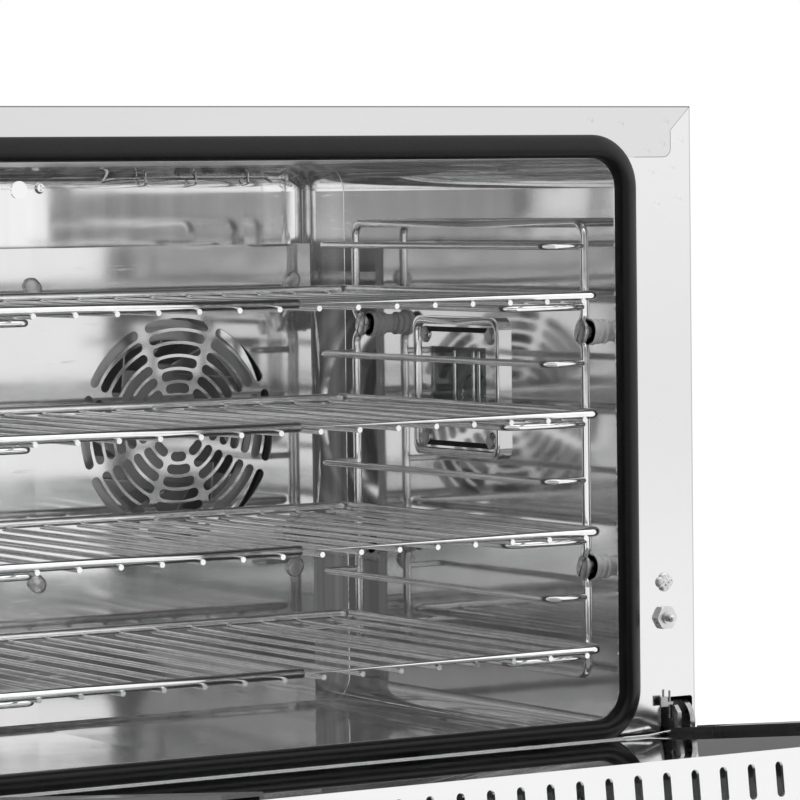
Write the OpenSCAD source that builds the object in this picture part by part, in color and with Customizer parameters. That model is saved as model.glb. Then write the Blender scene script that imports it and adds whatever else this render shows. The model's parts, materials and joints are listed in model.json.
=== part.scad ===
// Half-size countertop convection oven: twin fans, four wire shelves, drop-down glass door.
// Origin at the centre of the whole oven's base on the counter; +X right, -Y front, +Z up; mm.
// The door is drawn open, tilted a little above level, which is its rest position.

/* [Part] */
// Node to draw

/* [Cabinet] */
// Width of the space on each side of the cavity
side_w = 46.5; // [46:0.5:70]
// Depth from face frame to rear panel
body_d = 520; // [500:1:580]
// Height of the face above the mouth
top_h = 33; // [32:1:60]
// Height of the rubber feet
foot_h = 18; // [10:1:30]
// Thickness of wrap, base and rear sheet
sheet_t = 1.2; // [0.8:0.1:2]
// Thickness of the face frame sheet
face_t = 1.5; // [1:0.1:2.5]
// Height of the control panel
panel_h = 60; // [58:1:62]

/* [Cavity] */
// Inner width
cavity_w = 499; // [480:1:500]
// Depth from the mouth plate to the rear wall
cavity_d = 406; // [390:1:420]
// How far the mouth plate stands in on each side of the cavity
mouth_lip = 12; // [8:0.5:20]
// Height of the mouth
mouth_h = 357; // [340:1:370]
// Height of the mouth's lower edge above the counter
mouth_z = 110; // [108:1:116]
// Drop of the cavity floor below the mouth's lower edge
floor_drop = 22; // [10:1:24]
// Corner radius of the mouth
mouth_r = 18.7; // [12:0.1:24]
// Liner sheet thickness
liner_t = 1.2; // [0.8:0.1:2]
// Insulation thickness
blanket_t = 19; // [15:1:19]

/* [Fans] */
// Distance from face to the fan guard
guard_y = 344.6; // [330:0.1:350]
// Height of the fan axes
fan_z = 286.4; // [270:0.1:300]
// Distance of each fan axis from the centre
fan_x = 111.3; // [105:0.1:118]
// Impeller diameter
fan_d = 150; // [120:1:160]
// Mean radius of the ring heaters
heater_r = 97; // [90:1:100]

/* [Shelves] */
// Distance between shelf positions
shelf_pitch = 75; // [70:1:80]
// Height of the top guide wire
guide_z = 411.9; // [405:0.1:420]
// Play between a shelf and each side rack
shelf_play = 2; // [1:0.5:4]
// Depth over the shelf frame
shelf_d = 313.7; // [300:0.1:318]
// Wires across each shelf
shelf_wires = 16; // [10:1:20]

/* [Door] */
// Tilt above level when open
door_tilt = 6.92; // [0:0.01:10]
// Height of the closed door
door_h = 417; // [410:1:417]
// Door thickness
door_t = 33; // [30:1:36]
// Pitch of the slots in the top cap
cap_pitch = 18.5; // [16:0.1:24]

/* [Hidden] */
$fn = 64;
body_w = cavity_w + 2 * side_w;
half_w = body_w / 2;
mouth_w = cavity_w - 2 * mouth_lip;
// Door in its closed position and its pivot, measured from the face
door_gap = 9;
door_z = 79.9;
vent_tail = 8;
pivot_y = -15;
pivot_z = 92.78;
door_top = door_z + door_h;
door_out = door_gap + door_t;
door_reach = (door_out + pivot_y) * sin(door_tilt) + (door_top - pivot_z) * cos(door_tilt) - pivot_y;
face_y = (door_reach - body_d - vent_tail) / 2;
seam = 0.3;
wall = cavity_w / 2;
mouth_x = mouth_w / 2;
mouth_top = mouth_z + mouth_h;
body_h = mouth_top + top_h;
floor_z = mouth_z - floor_drop;
liner_y = face_t;
cavity_y = liner_y + liner_t;
rear_y = cavity_y + cavity_d;
panel_top = foot_h + panel_h;
steel = [0.78, 0.78, 0.79];
bright = [0.88, 0.88, 0.9];
dark = [0.12, 0.12, 0.13];
black = [0.05, 0.05, 0.05];
glass = [0.15, 0.16, 0.17, 0.5];
brass = [0.75, 0.6, 0.3];
wool = [0.85, 0.83, 0.75];

// Gasket ring around the mouth
mouth_edge = 0.5;
seal_w = 15;
seal_h = 8.5;
seal_r = 4.2;
seal_lip = 5.5;

// Baffle plate and guards
guard_w = cavity_w - 61;
guard_z0 = 91.3;
guard_z1 = 412;
guard_t = 1.2;
guard_fold = 10;
guard_rings = 7;
guard_r0 = 19.2;
guard_pitch = 8.95;
slot_w = 6.8;
slot_end = 0.97;
sectors = 8;
rib_w = 1.6;
rib_spread = 0.062;
guard_screw_x = guard_w / 2 - 15.5;
guard_screw_z = [186, 386];
standoff_r = 4;

// Side rack wires
rack_stand = 19.5;
rack_x = wall - rack_stand;
rack_y = [24.2, 302];
rack_wire = 5;
guide_wire = 4.5;
rack_top = guide_z + 14.5;
rack_bottom = guide_z - 3 * shelf_pitch - 51.5;
rack_corner = 9;
kink_out = 5.9;
kink_flat = 3.5;
kink_half = 9;
kink_dz = 75.5;
rack_mid = (rack_top + rack_bottom) / 2;
guide_leg = 29.4;
runner_leg = 60;
runner_drop = 39;
runner_bend = 8;
rack_screw_y = [24.2, 290];

// Shelf wires
shelf_w = 2 * (rack_x - rack_wire / 2 - shelf_play);
rod_d = 6;
cross_d = 3.5;
weld_sink = 1.55;
rest_gap = 0.3;
shelf_y = -0.9;
shelf_bend = 9;
shelf_inset = 16;
cross_drop = (rod_d + cross_d) / 2 - weld_sink;
rod_rise = guide_wire / 2 + rest_gap + cross_d / 2 + cross_drop;

// Door parts
sill_z = 87.6;
glass_t = 4;
pin_r = 4;
run_gap = 0.05;
rail_w = 24;
rail_x = half_w - rail_w;
rail_proud = 4;
rail_t = 2.2;
hinge_cut = 128;
cap_t = 2;
cap_slot = [5, 19];
cap_margin = 6.4;
cap_slot_y = -door_gap - cap_margin - cap_slot[1] / 2;
cap_slots = 30;
trim_h = 3.5;
trim_t = 1.2;
handle_x = half_w - 106;
handle_z = 452;
handle_y = -80;
handle_d = 22;

// Face hardware
hinge_x = half_w - 13;
hinge_slot_x = [half_w - 27, half_w - 2];
bush_r = 4;
slot_z = [94, 121];
ear_x = [-8.5, -5.5, 4, 8];
switch_pos = [half_w - 23.4, 172.4];
screw_pos = [half_w - 23.6, 195.3];
pin_out = 10;
switch_case = [16, 26, 28];

// Lamp in the right wall: centre along the depth and height, then sizes
lamp_pos = [199, 315.2];
lamp_frame_size = [106, 95];
lamp_window = [68, 54];
lamp_screw = [39.8, 35];
lamp_clear = 4.1;
lamp_deep = half_w - sheet_t - wall - liner_t - lamp_clear;

// Rear wall fittings
vent_pos = [-150, 445];
vent_r = 12;
port_pos = [24.4, 451.6];
port_screw = [16.2, 1.2];
bulb_x = [92, 222];
bulb_z = 459.5;
bulb_r = 2.8;
shaft_r = 4;
motor_y = rear_y + liner_t + blanket_t;
motor_r = 42;
motor_len = 56;
motor_plate_h = 104;
motor_plate_out = 62;
gland_pos = [66 - half_w, 60];

// Controls on the panel
knob_z = 43;
knob_x = [110, 210];
knob_d = 34;
knob_h = 22;
spindle_r = 3;
light_x = [20, 48];
rocker_x = -30;
rocker_size = [22, 15];

// Moves children from face coordinates into the oven's frame
module at_face() translate([0, face_y, 0]) children();

// Extrudes a shape drawn in X and Z from y0 towards the rear
module along_y(y0, len) translate([0, y0 + len, 0]) rotate([90, 0, 0]) linear_extrude(len) children();

// Extrudes a shape drawn in Y and Z from x0 to the right
module along_x(x0, len) translate([x0, 0, 0]) rotate([90, 0, 90]) linear_extrude(len) children();

// Round bar along Y
module rod_y(x, z, r, y0, len) translate([x, y0 + len, z]) rotate([90, 0, 0]) cylinder(h = len, r = r);

// Round bar along X
module rod_x(x0, y, z, r, len) translate([x0, y, z]) rotate([0, 90, 0]) cylinder(h = len, r = r);

// Places children on both sides of the middle plane
module both_sides() {
  children();
  mirror([1, 0, 0]) children();
}

// Rectangle with true arcs at its corners, centred
module rounded_rect(w, h, r) {
  square([w - 2 * r, h], center = true);
  square([w, h - 2 * r], center = true);
  for (x = [-1, 1], y = [-1, 1])
    translate([x * (w / 2 - r), y * (h / 2 - r)]) circle(r = r);
}

// Slot with round ends, centred, w across and h long
module stadium(w, h) {
  square([w, h - w], center = true);
  for (y = [-1, 1])
    translate([0, y * (h - w) / 2]) circle(d = w);
}

// The mouth's outline in X and Z, enlarged by grow
module mouth_shape(grow) {
  translate([0, mouth_z + mouth_h / 2])
    rounded_rect(mouth_w + 2 * grow, mouth_h + 2 * grow, mouth_r + grow);
}

// The cavity's cross-section, deeper than the mouth by the floor drop
module cavity_shape(grow) {
  translate([0, (floor_z + mouth_top) / 2])
    rounded_rect(cavity_w + 2 * grow, mouth_top - floor_z + 2 * grow, mouth_r + grow);
}

// Wire bent through steps of [straight length, bend angle, bend radius, roll before the bend]
module bent_wire(d, steps, i = 0) {
  if (i < len(steps)) {
    run = steps[i][0];
    bend = steps[i][1];
    radius = steps[i][2];
    if (run > 0) cylinder(h = run, d = d);
    translate([0, 0, run]) rotate([0, 0, steps[i][3]]) {
      if (bend > 0)
        translate([radius, 0, 0]) rotate([90, 0, 180]) rotate_extrude(angle = bend)
          translate([radius, 0]) circle(d = d);
      translate([radius, 0, 0]) rotate([0, bend, 0]) translate([-radius, 0, 0])
        bent_wire(d, steps, i + 1);
    }
  }
}

// Straight wires through points given as [Y, Z], with a round joint at each bend
module wire_path(d, points) {
  for (i = [1 : len(points) - 1]) {
    step = points[i] - points[i - 1];
    translate([0, points[i - 1][0], points[i - 1][1]]) rotate([-atan2(step[0], step[1]), 0, 0])
      cylinder(h = norm(step), d = d);
    if (i < len(points) - 1) translate([0, points[i][0], points[i][1]]) sphere(d = d * 1.04);
  }
}

// Screw seen from inside the cavity: dome head with one slot, shank behind, pointing to -Z
module slotted_screw(head_d, head_h, shank_d, shank_l) {
  difference() {
    cylinder(h = head_h, d1 = head_d, d2 = head_d * 0.72);
    translate([-head_d, -0.7, head_h * 0.5]) cube([2 * head_d, 1.4, head_h]);
  }
  translate([0, 0, -shank_l]) cylinder(h = shank_l, d = shank_d);
}

// Pan head screw with a cross recess, shank pointing to -Z
module cross_screw(head_d, head_h, shank_d, shank_l) {
  difference() {
    cylinder(h = head_h, d1 = head_d, d2 = head_d * 0.7);
    for (a = [0, 90])
      rotate([0, 0, a]) translate([-head_d * 0.28, -0.5, head_h * 0.4]) cube([head_d * 0.56, 1, head_h]);
  }
  translate([0, 0, -shank_l]) cylinder(h = shank_l, d = shank_d);
}

// Turns a part pointing to +Z so that it points to the front
module facing_front(x, y, z) translate([x, y, z]) rotate([90, 0, 0]) children();

// Wrap: top and both sides from one sheet, with cooling slots low in the sides
wrap_slots = 14;
wrap_slot_pitch = 14;
wrap_slot_rows = [90, 170];
wrap_slot = [5, 60];
module outer_wrap() color(steel) at_face() difference() {
  along_y(face_t, body_d - face_t) difference() {
    translate([-half_w, foot_h]) square([body_w, body_h - foot_h]);
    translate([-half_w + sheet_t, foot_h - 1])
      square([body_w - 2 * sheet_t, body_h - foot_h - sheet_t + 1]);
  }
  for (i = [0 : wrap_slots - 1], z = wrap_slot_rows)
    translate([0, body_d - 60 - i * wrap_slot_pitch, z]) rotate([90, 0, 90])
      translate([0, 0, -half_w - 1]) linear_extrude(body_w + 2) stadium(wrap_slot[0], wrap_slot[1]);
}

// Rear panel with a slotted group behind each motor
rear_slots = 9;
module rear_panel() color(steel) at_face() difference() {
  along_y(body_d - sheet_t, sheet_t)
    translate([-half_w + sheet_t, foot_h]) square([body_w - 2 * sheet_t, body_h - foot_h - sheet_t]);
  along_y(body_d - 5, 10) {
    for (side = [-1, 1], i = [0 : rear_slots - 1])
      translate([side * fan_x + (i - (rear_slots - 1) / 2) * 12, fan_z]) stadium(6, 90);
    translate([vent_pos[0], vent_pos[1]]) circle(r = vent_r + 0.5);
    translate([gland_pos[0], gland_pos[1]]) circle(r = 10.5);
  }
}

// Base pan between the wrap's sides, with an upturned edge and cooling slots
pan_edge = 14;
pan_slot_pitch = 30;
pan_slot_x = half_w - 116;
module base_pan() color(steel) at_face() difference() {
  translate([-half_w + sheet_t, face_t, foot_h])
    cube([body_w - 2 * sheet_t, body_d - face_t - sheet_t, pan_edge]);
  translate([-half_w + 2 * sheet_t, face_t + sheet_t, foot_h + sheet_t])
    cube([body_w - 4 * sheet_t, body_d - face_t - 3 * sheet_t, pan_edge]);
  for (x = [-pan_slot_x : pan_slot_pitch : pan_slot_x])
    translate([x, body_d * 0.6, foot_h - 1]) linear_extrude(sheet_t + 2) stadium(6, 90);
}

// One rubber foot, drawn at all four corners
foot_pos = [half_w - 46, body_d / 2 - 48];
foot_d = 38;
foot_chamfer = 3;
module foot() color(black) at_face() translate([0, body_d / 2, 0])
  for (x = [-1, 1], y = [-1, 1])
    translate([x * foot_pos[0], y * foot_pos[1], 0]) {
      cylinder(h = foot_chamfer, d1 = foot_d - 4, d2 = foot_d);
      translate([0, 0, foot_chamfer]) cylinder(h = foot_h - foot_chamfer, d = foot_d);
    }

// Top rail of the face; its tabs lap the stiles with a mitre, a step and a round corner
tab_x = half_w - 15.6;
tab_r = 5.5;
tab_z = mouth_top + 0.8;
mitre_z = body_h - 15.3;
module top_rail_shape(grow) {
  polygon([[-half_w - grow, body_h], [-tab_x - grow, mitre_z], [-tab_x - grow, tab_z + tab_r],
    [tab_x + grow, tab_z + tab_r], [tab_x + grow, mitre_z], [half_w + grow, body_h]]);
  translate([-tab_x + tab_r, tab_z - grow]) square([2 * (tab_x - tab_r), tab_r + grow]);
  for (x = [-1, 1])
    translate([x * (tab_x - tab_r), tab_z + tab_r]) circle(r = tab_r + grow);
}
module face_top_rail() color(bright) at_face() along_y(0, face_t) top_rail_shape(0);

// Rail below the mouth, between the stiles
lap_x = mouth_x + 18;
lap_h = mouth_z - seam - mouth_edge - panel_top;
module bottom_rail_shape(grow)
  translate([-lap_x - grow, panel_top]) square([2 * (lap_x + grow), lap_h + grow]);
module face_bottom_rail() color(bright) at_face() along_y(0, face_t) bottom_rail_shape(0);

// Stile beside the mouth with the hinge slot, switch hole and screw hole
module stile_shape() {
  difference() {
    translate([mouth_x - 40, panel_top]) square([half_w - mouth_x + 40, body_h - panel_top]);
    mouth_shape(mouth_edge);
    bottom_rail_shape(seam);
    top_rail_shape(seam);
    translate([hinge_slot_x[0] + hinge_slot_x[1], slot_z[0] + slot_z[1]] / 2)
      rounded_rect(hinge_slot_x[1] - hinge_slot_x[0], slot_z[1] - slot_z[0], 2);
    translate(switch_pos) circle(r = bush_r + 0.3);
    translate(screw_pos) circle(r = 2.3);
  }
}
module face_right_stile() color(bright) at_face() along_y(0, face_t) stile_shape();
module face_left_stile() color(bright) at_face() along_y(0, face_t) mirror([1, 0]) stile_shape();

// Control panel below the door
module control_panel() color(bright) at_face() along_y(0, face_t) difference() {
  translate([-half_w, foot_h]) square([body_w, panel_h]);
  for (x = knob_x)
    translate([x, knob_z]) circle(r = spindle_r + 1.5);
  for (x = light_x)
    translate([x, knob_z]) circle(r = 5);
  translate([rocker_x, knob_z]) square(rocker_size, center = true);
}

// Holes through the cavity's rear wall, shared by liner and insulation
module rear_holes(extra) {
  for (x = [-fan_x, fan_x])
    translate([x, fan_z]) circle(r = shaft_r + 3 + extra);
  translate(vent_pos) circle(r = vent_r + (extra > 0 ? 0.5 : 0.2));
  translate(port_pos + port_screw) circle(r = 2.1 + extra);
}

// Mirror-finished cavity with a mouth plate, lower floor and lamp window
flange = 11;
module cavity_liner() color(bright) at_face() difference() {
  union() {
    along_y(liner_y, cavity_d + 2 * liner_t) cavity_shape(liner_t);
    along_y(liner_y, liner_t) cavity_shape(flange);
  }
  along_y(cavity_y, cavity_d) cavity_shape(0);
  along_y(liner_y - 1, liner_t + 2) mouth_shape(0);
  along_y(rear_y - 1, liner_t + 2) rear_holes(0);
  along_x(wall - 5, liner_t + 10) translate(lamp_pos) square(lamp_window, center = true);
}

// Insulation blanket around the liner, open for the lamp, shafts, vent and door switch
module insulation() color(wool) at_face() difference() {
  along_y(cavity_y, cavity_d + liner_t + blanket_t) cavity_shape(liner_t + blanket_t);
  along_y(cavity_y - 1, cavity_d + liner_t + 1) cavity_shape(liner_t);
  along_y(rear_y, liner_t + blanket_t + 1) rear_holes(5);
  translate([wall, lamp_pos[0] - 50, lamp_pos[1] - 42]) cube([liner_t + blanket_t + 1, 100, 84]);
  translate([switch_pos[0] - switch_case[0] / 2 - 1, 0, switch_pos[1] - switch_case[2] / 2 - 1])
    cube(switch_case + [2, 2, 2]);
  both_sides() translate([hinge_x + ear_x[0] - 1, 0, case_z[0] - 1])
    cube([ear_x[3] - ear_x[0] + 2, case_y[1] + 1, case_z[1] - case_z[0] + 2]);
}

// Black silicone gasket around the mouth: round bulb inside, lower lip outside
module seal_profile() {
  translate([mouth_edge, 0]) square([seal_w - mouth_edge, 2]);
  translate([mouth_edge + seal_r, seal_h - seal_r]) circle(r = seal_r);
  translate([seal_w - seal_lip / 2, seal_lip / 2 + 0.4]) circle(d = seal_lip - 0.8);
}
module mouth_gasket() color(black) at_face() translate([0, 0, mouth_z + mouth_h / 2]) rotate([90, 0, 0])
  for (k = [0 : 3]) {
    reach = k % 2 == 0 ? mouth_x : mouth_h / 2;
    half = (k % 2 == 0 ? mouth_h / 2 : mouth_x) - mouth_r;
    rotate([0, 0, k * 90]) {
      translate([reach, half, 0]) rotate([90, 0, 0]) linear_extrude(2 * half) seal_profile();
      translate([reach - mouth_r, half, 0]) rotate_extrude(angle = 90)
        translate([mouth_r, 0]) seal_profile();
    }
  }

// Slots of one fan guard: rings of arc slots with round ends, parted by straight ribs
module guard_slots() {
  for (ring = [0 : guard_rings - 1], s = [0 : sectors - 1]) {
    r = guard_r0 + ring * guard_pitch;
    span = 360 / sectors - ((rib_w + slot_w) / r + rib_spread) * 180 / PI;
    rotate([0, 0, s * 360 / sectors - span / 2]) {
      rotate_extrude(angle = span) translate([r - slot_w / 2, 0]) square([slot_w, 3 * guard_t]);
      for (a = [0, span])
        rotate([0, 0, a]) translate([r, 0, 0]) cylinder(h = 3 * guard_t, d = slot_w * slot_end);
    }
  }
}

// Polished baffle in front of the fans, with folded edges and two slotted guards
module fan_guard_baffle() color(bright) at_face() {
  difference() {
    along_y(guard_y, guard_t) difference() {
      translate([-guard_w / 2, guard_z0]) square([guard_w, guard_z1 - guard_z0]);
      for (x = [-1, 0, 1], z = guard_screw_z)
        translate([x * guard_screw_x, z]) circle(r = 2.6);
    }
    for (x = [-fan_x, fan_x])
      facing_front(x, guard_y + 2 * guard_t, fan_z) guard_slots();
  }
  along_y(guard_y + guard_t, guard_fold) difference() {
    translate([-guard_w / 2, guard_z0]) square([guard_w, guard_z1 - guard_z0]);
    translate([-guard_w / 2 + guard_t, guard_z0 + guard_t])
      square([guard_w - 2 * guard_t, guard_z1 - guard_z0 - 2 * guard_t]);
  }
}
module baffle_screws() color(steel) at_face()
  for (x = [-1, 0, 1], z = guard_screw_z)
    facing_front(x * guard_screw_x, guard_y, z) rotate([0, 0, 45 - 85 * x])
      slotted_screw(11.5, 3.2, 5, 16);
module baffle_standoffs() color(steel) at_face()
  for (x = [-1, 0, 1], z = guard_screw_z)
    difference() {
      rod_y(x * guard_screw_x, z, standoff_r, guard_y + guard_t, rear_y - guard_y - guard_t);
      rod_y(x * guard_screw_x, z, 2.5, guard_y, 17);
    }

// Ring heaters around the impellers: two open rings each, with legs to the rear wall
heater_y = [364, 386];
heater_tube = 8;
heater_gap = 30;
module ring_heaters() color(dark) at_face() for (x = [-fan_x, fan_x])
  translate([x, 0, fan_z]) {
    for (y = heater_y) {
      translate([0, y, 0]) rotate([90, 0, 0]) rotate([0, 0, 90 + heater_gap / 2])
        rotate_extrude(angle = 360 - heater_gap) translate([heater_r, 0]) circle(d = heater_tube);
      for (side = [-1, 1])
        rod_y(side * heater_r * sin(heater_gap / 2), heater_r * cos(heater_gap / 2), heater_tube / 2,
          y - heater_tube / 2, rear_y - y + heater_tube / 2);
    }
    translate([-heater_r * 0.42, rear_y - 3, heater_r * 0.87]) cube([heater_r * 0.84, 3, 22]);
  }

// Fan motors behind the insulation, on one cross plate
module fan_motors() color(dark) at_face() for (x = [-fan_x, fan_x])
  difference() {
    union() {
      rod_y(x, fan_z, motor_r, motor_y + face_t, motor_len);
      rod_y(x, fan_z, 14, motor_y + face_t + motor_len, 10);
    }
    rod_y(x, fan_z, shaft_r + run_gap, motor_y - 1, 40);
  }
module motor_plate() color(steel) at_face() along_y(motor_y, face_t) difference() {
  translate([0, fan_z]) rounded_rect(2 * (fan_x + motor_plate_out), motor_plate_h, 6);
  for (x = [-fan_x, fan_x])
    translate([x, fan_z]) circle(r = 12);
}

// Impeller: rear disc, hub, set-back blades and front ring on a shaft
blades = 12;
wheel_y = [358, 396];
module fan_wheel() {
  r = fan_d / 2;
  rod_y(0, 0, r, wheel_y[1], 1.5);
  difference() {
    rod_y(0, 0, r, wheel_y[0], 1.5);
    rod_y(0, 0, r - 14, wheel_y[0] - 1, 4);
  }
  for (i = [0 : blades - 1])
    rotate([0, i * 360 / blades, 0]) translate([r - 9, wheel_y[0] + 1, 0]) rotate([0, 35, 0])
      translate([-32, 0, -0.6]) cube([34, wheel_y[1] - wheel_y[0], 1.2]);
  rod_y(0, 0, 15, wheel_y[1] - 12, 12.5);
  rod_y(0, 0, shaft_r, wheel_y[1] - 18, motor_y + 30 - wheel_y[1] + 18);
}
module fan_left() color(steel) at_face() translate([-fan_x, 0, fan_z]) fan_wheel();
module fan_right() color(steel) at_face() translate([fan_x, 0, fan_z]) fan_wheel();

// Oven lamp in the right wall: raised frame, glass, bulb, housing and screws
module lamp_frame() color(bright) at_face() translate([0, lamp_pos[0], lamp_pos[1]]) {
  along_x(wall - 3, 3) difference() {
    rounded_rect(lamp_frame_size[0], lamp_frame_size[1], 8);
    square(lamp_window, center = true);
    for (y = [-1, 1], z = [-1, 1])
      translate([y * lamp_screw[0], z * lamp_screw[1]]) circle(r = 2);
  }
  along_x(wall - 5, 2) difference() {
    rounded_rect(lamp_frame_size[0], lamp_frame_size[1], 8);
    rounded_rect(lamp_frame_size[0] - 9, lamp_frame_size[1] - 9, 4);
  }
}
module lamp_glass() color(glass) at_face() translate([0, lamp_pos[0], lamp_pos[1]])
  along_x(wall - 1.5, 3) square([lamp_window[0] - 0.4, lamp_window[1] - 0.4], center = true);
lamp_box = [96, 80];
module lamp_housing() color(steel) at_face() translate([0, lamp_pos[0], lamp_pos[1]]) {
  along_x(wall + liner_t, lamp_deep) difference() {
    rounded_rect(lamp_box[0], lamp_box[1], 8);
    rounded_rect(lamp_box[0] - 3, lamp_box[1] - 3, 6.5);
  }
  along_x(lamp_base_x, 1.5) rounded_rect(lamp_box[0], lamp_box[1], 8);
}
lamp_base_x = wall + liner_t + lamp_deep;
module lamp_bulb() color(glass) at_face() translate([lamp_base_x, lamp_pos[0], lamp_pos[1]]) {
  rod_x(-16, 0, 0, 9, 16);
  rod_x(-24, 0, 0, 6, 10);
  translate([-27, 0, 0]) rotate([0, 90, 0]) sphere(r = 9);
}
module lamp_screws() color(steel) at_face() for (y = [-1, 1], z = [-1, 1])
  translate([wall - 3, lamp_pos[0] + y * lamp_screw[0], lamp_pos[1] + z * lamp_screw[1]])
    rotate([0, -90, 0]) cross_screw(7, 2.2, 3.6, 3);

// Side rack: closed wire frame with kinks at the screws, guide wires and runner wires;
// each screw holds it through a collar that stands on the cavity wall
rack_mid_y = (rack_y[0] + rack_y[1]) / 2;
rack_half_y = (rack_y[1] - rack_y[0]) / 2;
module rack_upright() {
  kinks = [for (z = [rack_mid - kink_dz, rack_mid + kink_dz]) [[0, z - kink_half],
    [kink_out, z - kink_flat], [kink_out, z + kink_flat], [0, z + kink_half]]];
  wire_path(rack_wire, concat([[0, rack_bottom + rack_corner]], kinks[0], kinks[1],
    [[0, rack_top - rack_corner]]));
}
module rack_frame() translate([rack_x, rack_mid_y, 0]) {
  for (m = [0, 1])
    mirror([0, m, 0]) translate([0, -rack_half_y, 0]) rack_upright();
  for (m = [0, 1])
    translate([0, -rack_half_y, rack_mid]) mirror([0, 0, m])
      translate([0, 0, rack_top - rack_corner - rack_mid]) rotate([0, 0, 90])
        bent_wire(rack_wire, [[0, 90, rack_corner, 0],
          [2 * (rack_half_y - rack_corner), 90, rack_corner, 0]]);
}
module guide(z, leg) {
  span = rack_y[1] - rack_y[0];
  translate([rack_x, rack_y[0], z]) rotate([-90, 0, 0]) rotate([0, -90, 0])
    bent_wire(guide_wire, [[leg - runner_bend, 90, runner_bend, 0],
      [span - 2 * runner_bend, 90, runner_bend, 0], [leg - runner_bend, 0, 1, 0]]);
}
module rack_right_shape() {
  rack_frame();
  for (k = [0 : 3]) {
    guide(guide_z - k * shelf_pitch, guide_leg);
    guide(guide_z - k * shelf_pitch - runner_drop, runner_leg);
  }
}
module side_rack_right() color(bright) at_face() rack_right_shape();
module side_rack_left() color(bright) at_face() mirror([1, 0, 0]) rack_right_shape();
screw_seat = rack_x - rack_wire / 2 - rest_gap;
collar_x = rack_x + rack_wire / 2 + rest_gap;
module side_rack_screws() color(steel) at_face() both_sides()
  for (y = rack_screw_y, z = [rack_mid - kink_dz, rack_mid + kink_dz]) {
    translate([screw_seat, y, z]) rotate([0, -90, 0]) rotate([0, 0, 60])
      slotted_screw(14, 2.8, 6, wall - screw_seat);
    rod_x(collar_x, y, z, 7, 3);
    rod_x(collar_x, y, z, 4.5, wall - collar_x);
  }

// Wire shelf: closed rod frame over thin cross wires whose cut ends show at the front
module shelf(n) {
  z = guide_z - (n - 1) * shelf_pitch - runner_drop + rod_rise;
  half = (shelf_w - rod_d) / 2;
  long = shelf_d - rod_d - 2 * shelf_bend;
  side = 2 * (half - shelf_bend);
  color(bright) at_face() translate([-half + shelf_bend, shelf_y, z]) {
    rotate([90, 0, 0]) rotate([0, 90, 0]) bent_wire(rod_d, [[side, 90, shelf_bend, 0],
      [long, 90, shelf_bend, 0], [side, 90, shelf_bend, 0], [long, 90, shelf_bend, 0]]);
    for (i = [0 : shelf_wires - 1])
      rod_y(side / 2 + (i / (shelf_wires - 1) - 0.5) * (shelf_w - 2 * shelf_inset), -cross_drop,
        cross_d / 2, -rod_d / 2 + 0.4, shelf_d - 0.8);
  }
}
module shelf_1() shelf(1);
module shelf_2() shelf(2);
module shelf_3() shelf(3);
module shelf_4() shelf(4);

// Thermostat probe in two clips on the rear wall, with a grommet at its end
module thermostat_probe() color(brass) at_face() {
  y = rear_y - bulb_r - 3;
  rod_y(bulb_x[1] + 1, bulb_z - 5, 5, rear_y - 2, 2);
  rod_x(bulb_x[0], y, bulb_z, bulb_r, bulb_x[1] - bulb_x[0]);
  for (x = bulb_x)
    translate([x, y, bulb_z]) sphere(r = bulb_r);
  for (x = [bulb_x[0] + 25, bulb_x[1] - 30])
    translate([x, y, bulb_z - 1.5]) cube([7, rear_y - y, 3]);
}

// Flat disc over a spare opening, and its screw, on the rear wall above the baffle
module wall_disc() color(steel) at_face() {
  facing_front(port_pos[0], rear_y, port_pos[1]) cylinder(h = 1.2, r = 6.2);
  facing_front(port_pos[0] + port_screw[0], rear_y, port_pos[1] + port_screw[1])
    cross_screw(8, 2.2, 4, liner_t);
}

// Steam outlet from the cavity through the rear panel
module vent_tube() color(steel) at_face() difference() {
  rod_y(vent_pos[0], vent_pos[1], vent_r, rear_y, body_d + vent_tail - rear_y);
  rod_y(vent_pos[0], vent_pos[1], vent_r - 1.5, rear_y - 1, body_d + 10 - rear_y);
}

// Screws in the stiles beside the door switch
module face_screws() color(steel) at_face() both_sides()
  facing_front(screw_pos[0], 0, screw_pos[1]) cross_screw(8.5, 2.4, 4.4, 12);

// Door switch: hex nut, threaded bush and body, with a plunger the door presses
nut_h = 3.4;
bush_out = 1.4;
pin_side = 2.5;
module switch_nut() color(steel) at_face() difference() {
  union() {
    facing_front(switch_pos[0], 0, switch_pos[1]) intersection() {
      cylinder(h = nut_h, d = 16, $fn = 6);
      cylinder(h = nut_h, d1 = 21, d2 = 14.6);
    }
    rod_y(switch_pos[0], switch_pos[1], bush_r, -nut_h - bush_out, nut_h + bush_out + face_t);
    translate([switch_pos[0] - switch_case[0] / 2, face_t, switch_pos[1] - switch_case[2] / 2])
      cube(switch_case);
  }
  rod_y(switch_pos[0], switch_pos[1], pin_side + run_gap, -nut_h - bush_out - 1, 25);
}
module switch_plunger() color(bright) at_face() {
  rod_y(switch_pos[0], switch_pos[1], pin_side, pin_side - pin_out, pin_out + 8 - pin_side);
  translate([switch_pos[0], pin_side - pin_out, switch_pos[1]]) sphere(r = pin_side);
}

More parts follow.
